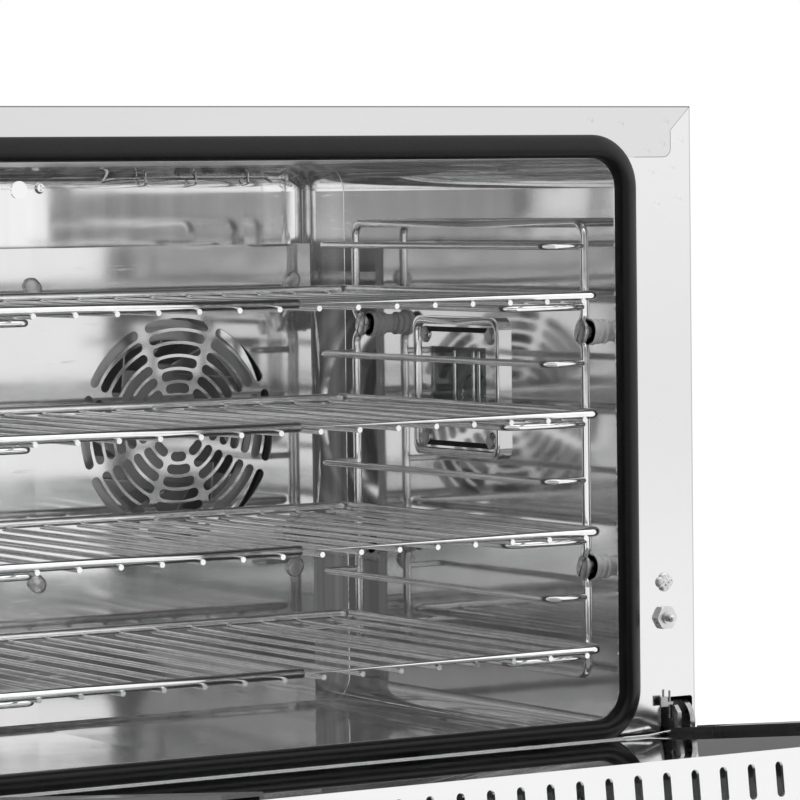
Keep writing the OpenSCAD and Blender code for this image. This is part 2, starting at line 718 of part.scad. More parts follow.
// Hinge held in the face slot: two ears on a pivot pin, a round cam, a hook, a rod and a spring case
hook_x = half_w - 30;
hook_w = 5.3;
rod_up = [108, 125.6];
case_y = [12, 112];
hook_y = -4.6;
hook_z = [115.5, 122];
hook_t = 1.2;
cam_pos = [6, 105];
cam_r = 13.5;
case_z = [slot_z[0] + 2, slot_z[1] - 4.5];
module ear_shape() {
  translate([pivot_y, pivot_z]) circle(r = 9);
  polygon([[pivot_y + 2, pivot_z - 8.5], [2, case_z[0]], [30, case_z[0]], [30, case_z[1]],
    [-7, case_z[1]], [-11, 112], [-11, 102], [pivot_y - 8, pivot_z + 4]]);
}
module cam_shape() {
  translate([pivot_y, pivot_z]) circle(r = 9);
  polygon([[pivot_y + 2, pivot_z - 8.5], [2, case_z[0]], [-6, 101], [pivot_y - 8, pivot_z + 4]]);
  intersection() {
    translate(cam_pos) circle(r = cam_r);
    translate([cam_pos[0] - cam_r, case_z[0]]) square(2 * cam_r);
  }
}
module hinge_shape() {
  along_x(hinge_x + ear_x[0], ear_x[1] - ear_x[0]) ear_shape();
  along_x(hinge_x + ear_x[2], ear_x[3] - ear_x[2]) cam_shape();
  rod_x(hinge_x + ear_x[0], pivot_y, pivot_z, pin_r, ear_x[3] - ear_x[0]);
  translate([hinge_x + ear_x[0], case_y[0], case_z[0]])
    cube([ear_x[3] - ear_x[0], case_y[1] - case_y[0], case_z[1] - case_z[0]]);
  translate([hook_x, hook_y, hook_z[0]]) cube([hinge_x + ear_x[0] - hook_x + 1, hook_t, 3]);
  translate([hook_x, hook_y, hook_z[0]]) cube([hook_w, hook_t, hook_z[1] - hook_z[0]]);
  translate([hinge_x - 9.5, hook_y + hook_t, rod_up[0]]) cylinder(h = rod_up[1] - rod_up[0], r = 0.7);
}
module hinge_right() color(steel) at_face() hinge_shape();
module hinge_left() color(steel) at_face() mirror([1, 0, 0]) hinge_shape();

// Power inlet: gland through the rear panel with its terminal case inside
module cable_gland() color(dark) at_face() {
  difference() {
    union() {
      rod_y(gland_pos[0], gland_pos[1], 10, body_d - 6, 14);
      translate([gland_pos[0], body_d, gland_pos[1]]) rotate([-90, 0, 0])
        cylinder(h = 6, d = 27, $fn = 6);
    }
    rod_y(gland_pos[0], gland_pos[1], 5, body_d - 7, 30);
  }
  translate([gland_pos[0] - 28, body_d - sheet_t - 40, gland_pos[1] - 24]) cube([56, 40, 48]);
}

// Pilot lights: lens in front of the panel, case behind
module pilot_lights() color([0.9, 0.35, 0.1]) at_face() for (x = light_x) {
  rod_y(x, knob_z, 4.9, -1.5, 22);
  facing_front(x, 0, knob_z) cylinder(h = 2.6, r1 = 6.5, r2 = 5.2);
}

// Rocker switch: frame and case in the panel, and the rocker itself
rocker_open = [19.2, 12.6];
rocker_axis = 1;
module rocker_frame() color(black) at_face() {
  along_y(-2, 2) translate([rocker_x, knob_z]) difference() {
    square([rocker_size[0] + 3, rocker_size[1] + 3], center = true);
    square(rocker_open, center = true);
  }
  along_y(0, 9) translate([rocker_x, knob_z]) difference() {
    square(rocker_size, center = true);
    square(rocker_open, center = true);
  }
  along_y(9, 14) translate([rocker_x, knob_z]) square(rocker_size, center = true);
}
module rocker() color(dark) at_face() translate([rocker_x, rocker_axis, knob_z]) {
  cube([18, 8, 10], center = true);
  rod_x(-9.4, 0, 0, 1.2, 18.8);
  translate([-9, -5.2, -5]) cube([18, 1.4, 4]);
}

// Timer and thermostat cases behind the panel, bored for the knob spindles
control_case = [44, 40, 21];
module control_bodies() color(dark) at_face() for (x = knob_x)
  difference() {
    translate([x - control_case[0] / 2, face_t, knob_z - control_case[2] / 2]) cube(control_case);
    rod_y(x, knob_z, spindle_r + run_gap, face_t - 1, 26);
  }

// Control knob: skirt, round cap with a raised grip and a pointer groove
module knob() {
  difference() {
    union() {
      facing_front(0, -1, 0) cylinder(h = 5, d = knob_d);
      facing_front(0, -6, 0) cylinder(h = 5, d1 = knob_d - 6, d2 = knob_d - 9);
      translate([-4.5, -knob_h, -knob_d / 2 + 3]) cube([9, knob_h - 6, knob_d - 6]);
    }
    translate([-0.6, -knob_h - 1, knob_d / 2 - 11]) cube([1.2, 2, 10]);
  }
  rod_y(0, 0, spindle_r, -6, 26);
}
module knob_timer() color(black) at_face() translate([knob_x[0], 0, knob_z]) knob();
module knob_temperature() color(black) at_face() translate([knob_x[1], 0, knob_z]) knob();

// Swings children from the closed door's place to the open one
module door_pose()
  translate([0, face_y + pivot_y, pivot_z]) rotate([90 - door_tilt, 0, 0])
    translate([0, -pivot_y, -pivot_z]) children();

// Door glazing: inner pane between the rails, outer pane over the full front
module door_inner_glass() color(glass) door_pose()
  translate([-rail_x + 0.2, -door_gap - glass_t, sill_z])
    cube([2 * rail_x - 0.4, glass_t, door_top - cap_t - sill_z]);
module door_outer_glass() color(glass) door_pose()
  translate([-half_w, -door_out, door_z]) cube([body_w, glass_t, door_h - cap_t]);

// Side rail: channel open to the outer pane, cut away at the hinge
rail_z = door_z + 4.1;
rail_back = door_out - glass_t;
module rail_shape() {
  difference() {
    translate([rail_x, -rail_back, rail_z])
      cube([rail_w, rail_back - door_gap + rail_proud, door_top - cap_t - rail_z]);
    translate([rail_x + rail_t, -rail_back - 1, rail_z - 1])
      cube([rail_w - 2 * rail_t, rail_back - door_gap + rail_proud + 1 - rail_t, door_h]);
    translate([rail_x + rail_t, -rail_back, rail_z - 1])
      cube([rail_w - 2 * rail_t, rail_back, hinge_cut - rail_z + 1]);
  }
}
module door_rail_right() color(black) door_pose() rail_shape();
module door_rail_left() color(black) door_pose() mirror([1, 0, 0]) rail_shape();

// Top cap with a row of upright slots, and the plain slotted cap below
module door_top_cap() color(bright) door_pose() difference() {
  translate([-half_w, -door_out, door_top - cap_t]) cube([body_w, door_t, cap_t]);
  for (i = [0 : cap_slots - 1])
    translate([(i - (cap_slots - 1) / 2) * cap_pitch, cap_slot_y, door_top - cap_t - 1])
      linear_extrude(cap_t + 2) stadium(cap_slot[0], cap_slot[1]);
}
module door_bottom_cap() color(black) door_pose() difference() {
  translate([-rail_x, -rail_back, sill_z]) cube([2 * rail_x, rail_back - door_gap - glass_t, cap_t]);
  for (i = [0 : cap_slots - 3])
    translate([(i - (cap_slots - 3) / 2) * cap_pitch, -rail_back + 12, sill_z - 1])
      linear_extrude(cap_t + 2) stadium(cap_slot[0], 16);
}

// Bright strip on the inner pane along its lower edge
module door_trim_strip() color(bright) door_pose()
  translate([-rail_x + 4, -door_gap, sill_z]) cube([2 * rail_x - 8, trim_t, trim_h]);

// Hinge blades inside the rails, turning on the hinge pins
blade_x = [-3.5, 3.5];
lug_z = 150;
lug_d = 22;
module blade_shape() {
  difference() {
    along_x(hinge_x + blade_x[0], blade_x[1] - blade_x[0]) {
      translate([pivot_y, pivot_z]) circle(r = 8.5);
      translate([pivot_y - 12, pivot_z]) square([18, 100]);
    }
    rod_x(hinge_x - 10, pivot_y, pivot_z, pin_r + run_gap, 20);
  }
  translate([rail_x + rail_t, -rail_back + 6, lug_z]) cube([rail_w - 2 * rail_t, lug_d, 4]);
}
module door_blades() color(steel) door_pose() both_sides() blade_shape();

// Handle: round bar on two posts with flanges on the outer pane
post_x = handle_x - 30;
module door_handle() color(bright) door_pose() {
  rod_x(-handle_x, handle_y, handle_z, handle_d / 2, 2 * handle_x);
  for (x = [-post_x, post_x]) {
    rod_y(x, handle_z, 8, handle_y, -door_out - handle_y);
    rod_y(x, handle_z, 13, -door_out - 4, 4);
  }
}

outer_wrap();
rear_panel();
base_pan();
foot();
face_top_rail();
face_left_stile();
face_right_stile();
face_bottom_rail();
control_panel();
cavity_liner();
insulation();
mouth_gasket();
fan_guard_baffle();
baffle_screws();
baffle_standoffs();
ring_heaters();
fan_motors();
motor_plate();
fan_left();
fan_right();
lamp_frame();
lamp_glass();
lamp_bulb();
lamp_housing();
lamp_screws();
side_rack_left();
side_rack_right();
side_rack_screws();
thermostat_probe();
wall_disc();
vent_tube();
face_screws();
switch_nut();
switch_plunger();
hinge_left();
hinge_right();
cable_gland();
pilot_lights();
rocker_frame();
rocker();
control_bodies();
knob_timer();
knob_temperature();
shelf_1();
shelf_2();
shelf_3();
shelf_4();
door_inner_glass();
door_outer_glass();
door_rail_left();
door_rail_right();
door_top_cap();
door_bottom_cap();
door_trim_strip();
door_blades();
door_handle();
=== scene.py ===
"""Countertop convection oven with its door open: finishes, fine pieces, studio and camera round the frame."""

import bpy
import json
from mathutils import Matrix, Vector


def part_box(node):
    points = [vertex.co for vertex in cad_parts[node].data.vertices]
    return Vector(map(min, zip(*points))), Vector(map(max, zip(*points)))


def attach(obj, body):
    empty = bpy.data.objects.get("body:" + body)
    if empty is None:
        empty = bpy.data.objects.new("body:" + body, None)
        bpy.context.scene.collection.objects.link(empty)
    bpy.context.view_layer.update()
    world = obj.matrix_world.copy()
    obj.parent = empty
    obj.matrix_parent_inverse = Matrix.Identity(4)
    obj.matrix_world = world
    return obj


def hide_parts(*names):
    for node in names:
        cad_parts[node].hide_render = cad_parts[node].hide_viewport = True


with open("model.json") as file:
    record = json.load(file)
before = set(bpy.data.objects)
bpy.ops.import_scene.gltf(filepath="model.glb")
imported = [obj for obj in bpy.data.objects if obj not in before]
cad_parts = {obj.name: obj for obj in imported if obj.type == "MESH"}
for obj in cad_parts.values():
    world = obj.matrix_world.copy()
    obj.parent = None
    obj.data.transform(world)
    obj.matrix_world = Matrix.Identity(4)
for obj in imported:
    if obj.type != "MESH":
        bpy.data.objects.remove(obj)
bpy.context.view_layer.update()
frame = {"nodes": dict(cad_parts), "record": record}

import json
import logging
import math
from dataclasses import dataclass
from enum import Enum
from typing import Callable, Iterable, Sequence

import bmesh
import bpy
from mathutils import Matrix, Vector

LOG = logging.getLogger("oven")
MM = 0.001
LINER_FLANGE = 11 * MM

Colour = tuple[float, float, float]
Point = tuple[float, float, float]


class Nodes:
    """A node tree with short ways to add to it."""

    def __init__(self, tree: bpy.types.NodeTree) -> None:
        """Keeps the tree."""
        self.tree = tree

    def put(self, value: object, socket: bpy.types.NodeSocket) -> None:
        """Sets a socket to a value, or links it to an output or to a list of them."""
        for item in value if isinstance(value, list) else [value]:
            source = item.socket if isinstance(item, Sock) else item
            if isinstance(source, bpy.types.NodeSocket):
                self.tree.links.new(source, socket)
            else:
                socket.default_value = source

    def add(self, kind: str, settings: dict | None = None, places: dict[int, object] | None = None,
            **inputs: object) -> bpy.types.Node:
        """Adds a node.

        Args:
            kind: The node's type.
            settings: Attributes set before the inputs.
            places: Values or links by the input's place, for inputs that share a name.
            **inputs: Values or links by socket name, with underscores for spaces.

        Returns:
            The node.
        """
        node = self.tree.nodes.new(kind)
        for key, value in (settings or {}).items():
            setattr(node, key, value)
        for place, value in (places or {}).items():
            self.put(value, node.inputs[place])
        for key, value in inputs.items():
            self.put(value, next(s for s in node.inputs if s.enabled and s.name == key.replace("_", " ")))
        return node

    def maths(self, operation: str, first: object, second: object) -> bpy.types.NodeSocket:
        """Output of a Math node on two values or links."""
        return self.add("ShaderNodeMath", {"operation": operation}, {0: first, 1: second}).outputs[0]


class Sock:
    """One output of a shader node, usable in Python expressions."""

    def __init__(self, nodes: Nodes, socket: bpy.types.NodeSocket) -> None:
        """Wraps an output of a tree."""
        self.nodes = nodes
        self.socket = socket

    def _step(operation: str, swapped: bool = False) -> "Callable[..., Sock]":
        """A method that adds one Math node, with the other value first where it is swapped."""
        def method(self: "Sock", other: "Sock | float" = 0.0) -> "Sock":
            pair = (other, self) if swapped else (self, other)
            return Sock(self.nodes, self.nodes.maths(operation, *pair))
        return method

    __add__ = _step("ADD")
    __radd__ = _step("ADD", True)
    __sub__ = _step("SUBTRACT")
    __rsub__ = _step("SUBTRACT", True)
    __mul__ = _step("MULTIPLY")
    __pow__ = _step("POWER")
    __abs__ = _step("ABSOLUTE")
    sine = _step("SINE")
    at_least = _step("MAXIMUM")


class Shader(Nodes):
    """Node tree of a material or of the world."""

    def __init__(self, owner: bpy.types.Material | bpy.types.World) -> None:
        """Empties the owner's tree."""
        owner.use_nodes = True
        super().__init__(owner.node_tree)
        self.owner = owner
        self.tree.nodes.clear()

    def node(self, kind: str, settings: dict | None = None, output: int | str = 0, **inputs: object) -> Sock:
        """Adds a node as `add` does, and returns one of its outputs."""
        return Sock(self, self.add(kind, settings, **inputs).outputs[output])

    def place(self, scale: Point = (1, 1, 1), turn: Point = (0, 0, 0)) -> Sock:
        """Object coordinates, stretched along the axes and turned by Euler angles."""
        where = self.node("ShaderNodeTexCoord", output="Object")
        return self.node("ShaderNodeMapping", Vector=where, Scale=scale, Rotation=turn)

    def axes(self, kind: str = "Object") -> list[Sock]:
        """Coordinates of one kind along each axis."""
        where = self.node("ShaderNodeTexCoord", output=kind)
        return [Sock(self, out) for out in self.add("ShaderNodeSeparateXYZ", Vector=where).outputs]

    def noise(self, where: Sock, scale: float, detail: float = 2.0, twist: float = 0.0) -> Sock:
        """Noise between 0 and 1.

        Args:
            where: Coordinates.
            scale: Size of the pattern, per metre.
            detail: Octaves.
            twist: Distortion.

        Returns:
            The noise value.
        """
        return self.node("ShaderNodeTexNoise", Vector=where, Scale=scale, Detail=detail, Distortion=twist)

    def ramp(self, value: Sock, low: float, high: float, out_low: float = 0.0, out_high: float = 1.0) -> Sock:
        """Maps a value from one range to another, clamped."""
        return self.node("ShaderNodeMapRange", {"clamp": True}, Value=value, From_Min=low, From_Max=high,
                         To_Min=out_low, To_Max=out_high)

    def tint(self, factor: Sock, first: "Sock | Colour", second: Colour) -> Sock:
        """Mixes two colours by a factor."""
        first, second = ((*c, 1) if isinstance(c, tuple) else c for c in (first, second))
        node = self.add("ShaderNodeMix", {"data_type": "RGBA"}, {0: factor, 6: first, 7: second})
        return Sock(self, node.outputs[2])

    def greys(self, factor: Sock, middle: float, spread: float) -> Sock:
        """Mixes the two greys on either side of a middle one by a factor."""
        return self.tint(factor, (middle - spread,) * 3, (middle + spread,) * 3)

    def bump(self, height: Sock, depth: float, **more: "Sock | float") -> Sock:
        """A normal from a height.

        Args:
            height: Height between 0 and 1.
            depth: Real depth of that height, in metres.
            **more: The bump node's other inputs.

        Returns:
            The normal.
        """
        return self.node("ShaderNodeBump", Height=height, Distance=depth, **more)

    def mix(self, factor: Sock, first: Sock, second: Sock) -> Sock:
        """Mixes two surfaces by a factor."""
        node = self.add("ShaderNodeMixShader", places={0: factor, 1: first, 2: second})
        return Sock(self, node.outputs[0])

    def show(self, surface: Sock) -> None:
        """Ends the tree with a surface."""
        self.add("ShaderNodeOutput" + type(self.owner).__name__, Surface=surface)

    def finish(self, **inputs: object) -> None:
        """Ends the tree with a Principled surface, its inputs given as for `add`."""
        self.show(self.node("ShaderNodeBsdfPrincipled", **inputs))


class Grain(Enum):
    """Direction of a sheet's brushing."""

    ALONG_X = (4.0, 260.0, 260.0)
    ALONG_Y = (260.0, 4.0, 260.0)


class Finish:
    """A finish, painted into materials."""

    def material(self, name: str) -> bpy.types.Material:
        """Builds a material.

        Args:
            name: Its name.

        Returns:
            The material.
        """
        made = bpy.data.materials.new(name)
        self.paint(Shader(made))
        return made

    def paint(self, s: Shader) -> None:
        """Builds the finish in an empty tree."""
        raise NotImplementedError


@dataclass(frozen=True)
class SheetSteel(Finish):
    """Brushed or mill-finished sheet."""

    shade: float = 0.62
    rough: float = 0.28
    grain: Grain = Grain.ALONG_X
    grain_depth: float = 4e-6
    spread: float = 0.04

    def paint(self, s: Shader) -> None:
        """Long grain under slow clouds."""
        lines = s.noise(s.place(self.grain.value), 6.0, 3.0)
        cloud = s.noise(s.place(), 9.0, 3.0)
        s.finish(Base_Color=s.greys(s.ramp(lines * 0.6 + cloud * 0.4, 0.35, 0.65), self.shade, self.spread),
                 Metallic=1.0, Roughness=s.ramp(lines, 0.3, 0.7, self.rough * 0.85, self.rough * 1.2),
                 Normal=s.bump(lines, self.grain_depth))


@dataclass(frozen=True)
class FaceSteel(Finish):
    """Smooth satin sheet of the face, with spot-weld dimples and painted shade along its folded outer edge.
    """

    shade: float = 0.745
    spread: float = 0.012
    rough: float = 0.13
    # Grey of the painted shade at the folded edges, and its share on the side folds.
    edge_shade: float = 0.2
    side_edge: float = 0.45
    shift: tuple[float, float] = (-1.6, -1.1)
    half_width: float = 296 * MM
    top: float = 500 * MM
    edge: float = 0.9 * MM
    dimple: float = 2.6 * MM
    depth: float = 0.3 * MM
    dimples: tuple[tuple[float, float], ...] = (
        (220, 492), (243.5, 490), (279, 491), (276, 477), (264, 473), (283, 462), (267, 459), (290, 479),
        (288, 442), (271, 439))

    def paint(self, s: Shader) -> None:
        """Satin clouds, painted shade at the folded edge and the dimples."""
        x, _, z = s.axes()
        side = abs(x)
        pits: Sock | float = 0.0
        for across, up in self.dimples:
            across, up = across + self.shift[0], up + self.shift[1]
            away = ((side - across * MM) ** 2.0 + (z - up * MM) ** 2.0) ** 0.5
            pits = pits + s.ramp(away, 0.0, self.dimple, 1.0, 0.0)
        cloud = s.noise(s.place(), 5.0, 2.0)
        satin = s.noise(s.place((3.0, 3.0, 300.0)), 5.0, 2.0)
        inner, outer = self.edge, self.edge * 0.6
        # Painted shade: the rim mask darkens the base colour at the top fold and, less, at the side folds.
        rim = s.ramp(z, self.top - inner, self.top - outer).at_least(
            s.ramp(side, self.half_width - inner, self.half_width - outer, 0.0, self.side_edge))
        plain = s.greys(s.ramp(cloud * 0.7 + satin * 0.3, 0.35, 0.65), self.shade, self.spread)
        s.finish(Base_Color=s.tint(rim, plain, (self.edge_shade,) * 3), Metallic=1.0,
                 Roughness=s.ramp(cloud, 0.3, 0.7, self.rough * 0.9, self.rough * 1.1),
                 Normal=s.bump(1.0 - pits, self.depth))


@dataclass(frozen=True)
class MirrorSteel(Finish):
    """Bright-polished sheet: bowed between its screws, blurred on the liner, with sparse short scratches,
    painted light on the rear wall and a faint painted glow in long bands.
    """

    shade: float = 0.80
    spread: float = 0.03
    rough: float = 0.085
    liner_rough: float = 0.075
    # Painted light: how much lighter the rear wall's base colour is.
    rear_gain: float = 0.13
    ceiling: float = 466 * MM
    ceiling_rough: float = 0.3
    wave: float = 1.0 * MM
    wave_scale: float = 3.0
    dent: float = 0.10 * MM
    scratches: float = 0.10
    bow: float = 0.9 * MM
    rear_bow: float = 2.4 * MM
    bow_width: float = 203.5 * MM
    plate_y: float = 290.3 * MM
    plate_half: float = 3 * MM
    fade: float = 1 * MM
    # Painted light: grey of the faint glow everywhere and of its brighter glowing bands.
    dark_streak: float = 0.012
    streaks: float = 0.05

    def paint(self, s: Shader) -> None:
        """The guard plate, the liner before it and the rear wall behind it each have their own share; the
        rear wall's base colour is painted lighter.
        """
        where = s.place()
        x, y, z = s.axes()
        off_plate = s.ramp(abs(y - self.plate_y), self.plate_half, self.plate_half + self.fade)
        rear = self.plate_y + self.plate_half
        behind = s.ramp(y, rear, rear + self.fade)
        bulge = abs((x * (math.pi / self.bow_width)).sine())
        wave = s.noise(where, self.wave_scale, 1.0, 0.4) * self.wave
        height = wave + bulge * (behind * (self.rear_bow - self.bow) + self.bow)
        dents = s.noise(where, 22.0, 1.0)
        haze = s.noise(where, 11.0, 4.0)
        lines = s.noise(s.place((2.0, 2.0, 26.0), (0.0, 0.75, 0.0)), 20.0, 1.0)
        scratch = s.ramp(lines, 0.66, 0.72, 0.0, self.scratches) * s.ramp(haze, 0.5, 0.62)
        cloud = s.greys(s.ramp(haze, 0.3, 0.7), self.shade, self.spread)
        blur = off_plate * (self.liner_rough - self.rough) + self.rough
        above = s.ramp(z, self.ceiling, self.ceiling + self.fade / 2, 0.0, self.ceiling_rough)
        glow_stripe = s.noise(s.place((70.0, 70.0, 0.6)), 1.5, 3.0)
        # Painted light: the base colour is made lighter on the rear wall behind the guard plate.
        s.finish(Base_Color=s.tint(behind * 0.85, cloud, (self.shade + self.rear_gain,) * 3), Metallic=1.0,
                 Roughness=(s.ramp(haze, 0.35, 0.7, 0.75, 1.35) * blur + scratch).at_least(above),
                 # Painted light: the emission makes the sheet glow faintly, with brighter bands, most on the
                 # rear wall.
                 Emission_Color=s.tint(s.ramp(glow_stripe, 0.38, 0.66) * (behind * 0.8 + 0.2),
                                       (self.dark_streak,) * 3, (self.streaks,) * 3),
                 Emission_Strength=1.0, Normal=s.bump(dents, self.dent, Normal=s.bump(height, 1.0)))


@dataclass(frozen=True)
class Plated(Finish):
    """Chromed or zinc-plated wire and hardware."""

    shade: float = 0.8
    rough: float = 0.1
    spread: float = 0.06

    def paint(self, s: Shader) -> None:
        """Fine spots."""
        spots = s.noise(s.place(), 120.0, 4.0)
        s.finish(Base_Color=s.greys(s.ramp(spots, 0.35, 0.65), self.shade, self.spread), Metallic=1.0,
                 Roughness=s.ramp(spots, 0.35, 0.7, self.rough * 0.7, self.rough * 1.5),
                 Normal=s.bump(spots, 1e-5, Strength=0.3))


@dataclass(frozen=True)
class Moulded(Finish):
    """Rubber, plastic, enamel, paint or wool: a coloured surface with a fine texture."""

    colour: Colour = (0.03, 0.03, 0.03)
    rough: float = 0.5
    texture: float = 2e-5
    scale: float = 400.0
    contrast: float = 0.3
    coat: float = 0.0
    sheen: float = 0.5

    def paint(self, s: Shader) -> None:
        """Fine grains over slow clouds."""
        grains = s.noise(s.place(), self.scale, 3.0)
        cloud = s.noise(s.place(), 12.0, 3.0)
        dark = tuple(c * (1 - self.contrast) for c in self.colour)
        light = tuple(min(1.0, c * (1 + self.contrast)) for c in self.colour)
        s.finish(Base_Color=s.tint(s.ramp(grains * 0.5 + cloud * 0.5, 0.35, 0.65), dark, light),
                 Roughness=s.ramp(cloud, 0.3, 0.7, self.rough * 0.85, self.rough * 1.15),
                 Coat_Weight=self.coat, Specular_IOR_Level=self.sheen, Normal=s.bump(grains, self.texture))


@dataclass(frozen=True)
class Pane(Finish):
    """Glass with a tint and faint smears."""

    tint: Colour = (0.8, 0.82, 0.82)
    rough: float = 0.01

    def paint(self, s: Shader) -> None:
        """Smears of tint and roughness."""
        smear = s.noise(s.place((1.0, 1.0, 3.0)), 9.0, 4.0)
        s.finish(Base_Color=s.tint(s.ramp(smear, 0.3, 0.7), tuple(c * 0.94 for c in self.tint), self.tint),
                 Transmission_Weight=1.0, IOR=1.5,
                 Roughness=s.ramp(smear, 0.5, 0.8, self.rough, self.rough * 4))


@dataclass(frozen=True)
class Lens(Finish):
    """Ribbed translucent lens of a pilot light."""

    colour: Colour = (0.85, 0.33, 0.06)

    def paint(self, s: Shader) -> None:
        """Ribs in colour and relief."""
        ribs = s.node("ShaderNodeTexWave", {"bands_direction": "X"}, output=1, Vector=s.place(), Scale=220.0)
        s.finish(Base_Color=s.tint(ribs, tuple(c * 0.7 for c in self.colour), self.colour), Roughness=0.2,
                 Transmission_Weight=0.4, Normal=s.bump(ribs, 1e-4))


FINISHES = {
    "outer_steel": SheetSteel(0.55, 0.32, Grain.ALONG_Y),
    "face_steel": FaceSteel(),
    "mirror_steel": MirrorSteel(),
    "bright_wire": Plated(0.92, 0.11, 0.04),
    "zinc": Plated(0.72, 0.30, 0.1),
    "silicone_black": Moulded((0.006, 0.006, 0.006), 0.36, 5e-6, sheen=0.2),
    "foot_rubber": Moulded((0.03, 0.03, 0.03), 0.7),
    "dark_glass": Pane((0.3, 0.32, 0.33)),
    "clear_glass": Pane((0.93, 0.95, 0.95)),
    "black_enamel": Moulded((0.05, 0.05, 0.051), 0.3, 1e-5, coat=0.3),
    "motor_paint": Moulded((0.09, 0.09, 0.1), 0.55),
    "heater_sheath": SheetSteel(0.2, 0.4, Grain.ALONG_Y, 1e-5, 0.06),
    "mineral_wool": Moulded((0.5, 0.49, 0.46), 0.95, 6e-4, 150.0, 0.2),
    "probe_copper": Plated(0.7, 0.22, 0.08),
    "black_plastic": Moulded((0.02, 0.02, 0.02), 0.45, 3e-5, 700.0),
    "gloss_plastic_black": Moulded((0.015, 0.015, 0.015), 0.15, 5e-6, 300.0, coat=0.3),
    "amber_lens": Lens(),
}

NODE_FINISHES_AND_PAINTED_LIGHT = {
    # Painted light: the cap and the two stiles are lighter copies of the face steel.
    "door_top_cap": FaceSteel(0.91),
    "face_left_stile": FaceSteel(0.84),
    "face_right_stile": FaceSteel(0.84),
    "door_outer_glass": Pane((0.74, 0.76, 0.76)),
    # Painted light: the disc is a lighter copy of the mirror steel, painting a bright reflection.
    "wall_disc": MirrorSteel(0.84),
    # Painted shade: the hinges are darker copies of the zinc, painting the dark reflections on them.
    "hinge_left": Plated(0.40, 0.24, 0.12),
    "hinge_right": Plated(0.40, 0.24, 0.12),
}


class Materials:
    """Makes each slot's material once, and the finishes of single nodes, some of them lighter or darker
    copies that paint light or shade.
    """

    def __init__(self) -> None:
        """Starts with no materials."""
        self.made: dict[str, bpy.types.Material] = {}

    def get(self, slot: str) -> bpy.types.Material:
        """The material of a slot of the record."""
        if slot not in self.made:
            self.made[slot] = FINISHES[slot].material(slot)
        return self.made[slot]

    def dress_nodes(self) -> None:
        """Gives every CAD node its own finish, some of them lighter or darker copies that paint light or
        shade, or else its slot's.
        """
        for part in frame["record"]["subparts"]:
            node, slot = part["node"], part["material_slot"]
            own = NODE_FINISHES_AND_PAINTED_LIGHT.get(node)
            mesh = frame["nodes"][node].data
            mesh.materials.clear()
            mesh.materials.append(own.material(node + "_finish") if own else self.get(slot))
            LOG.info("%s: %s", node, slot)


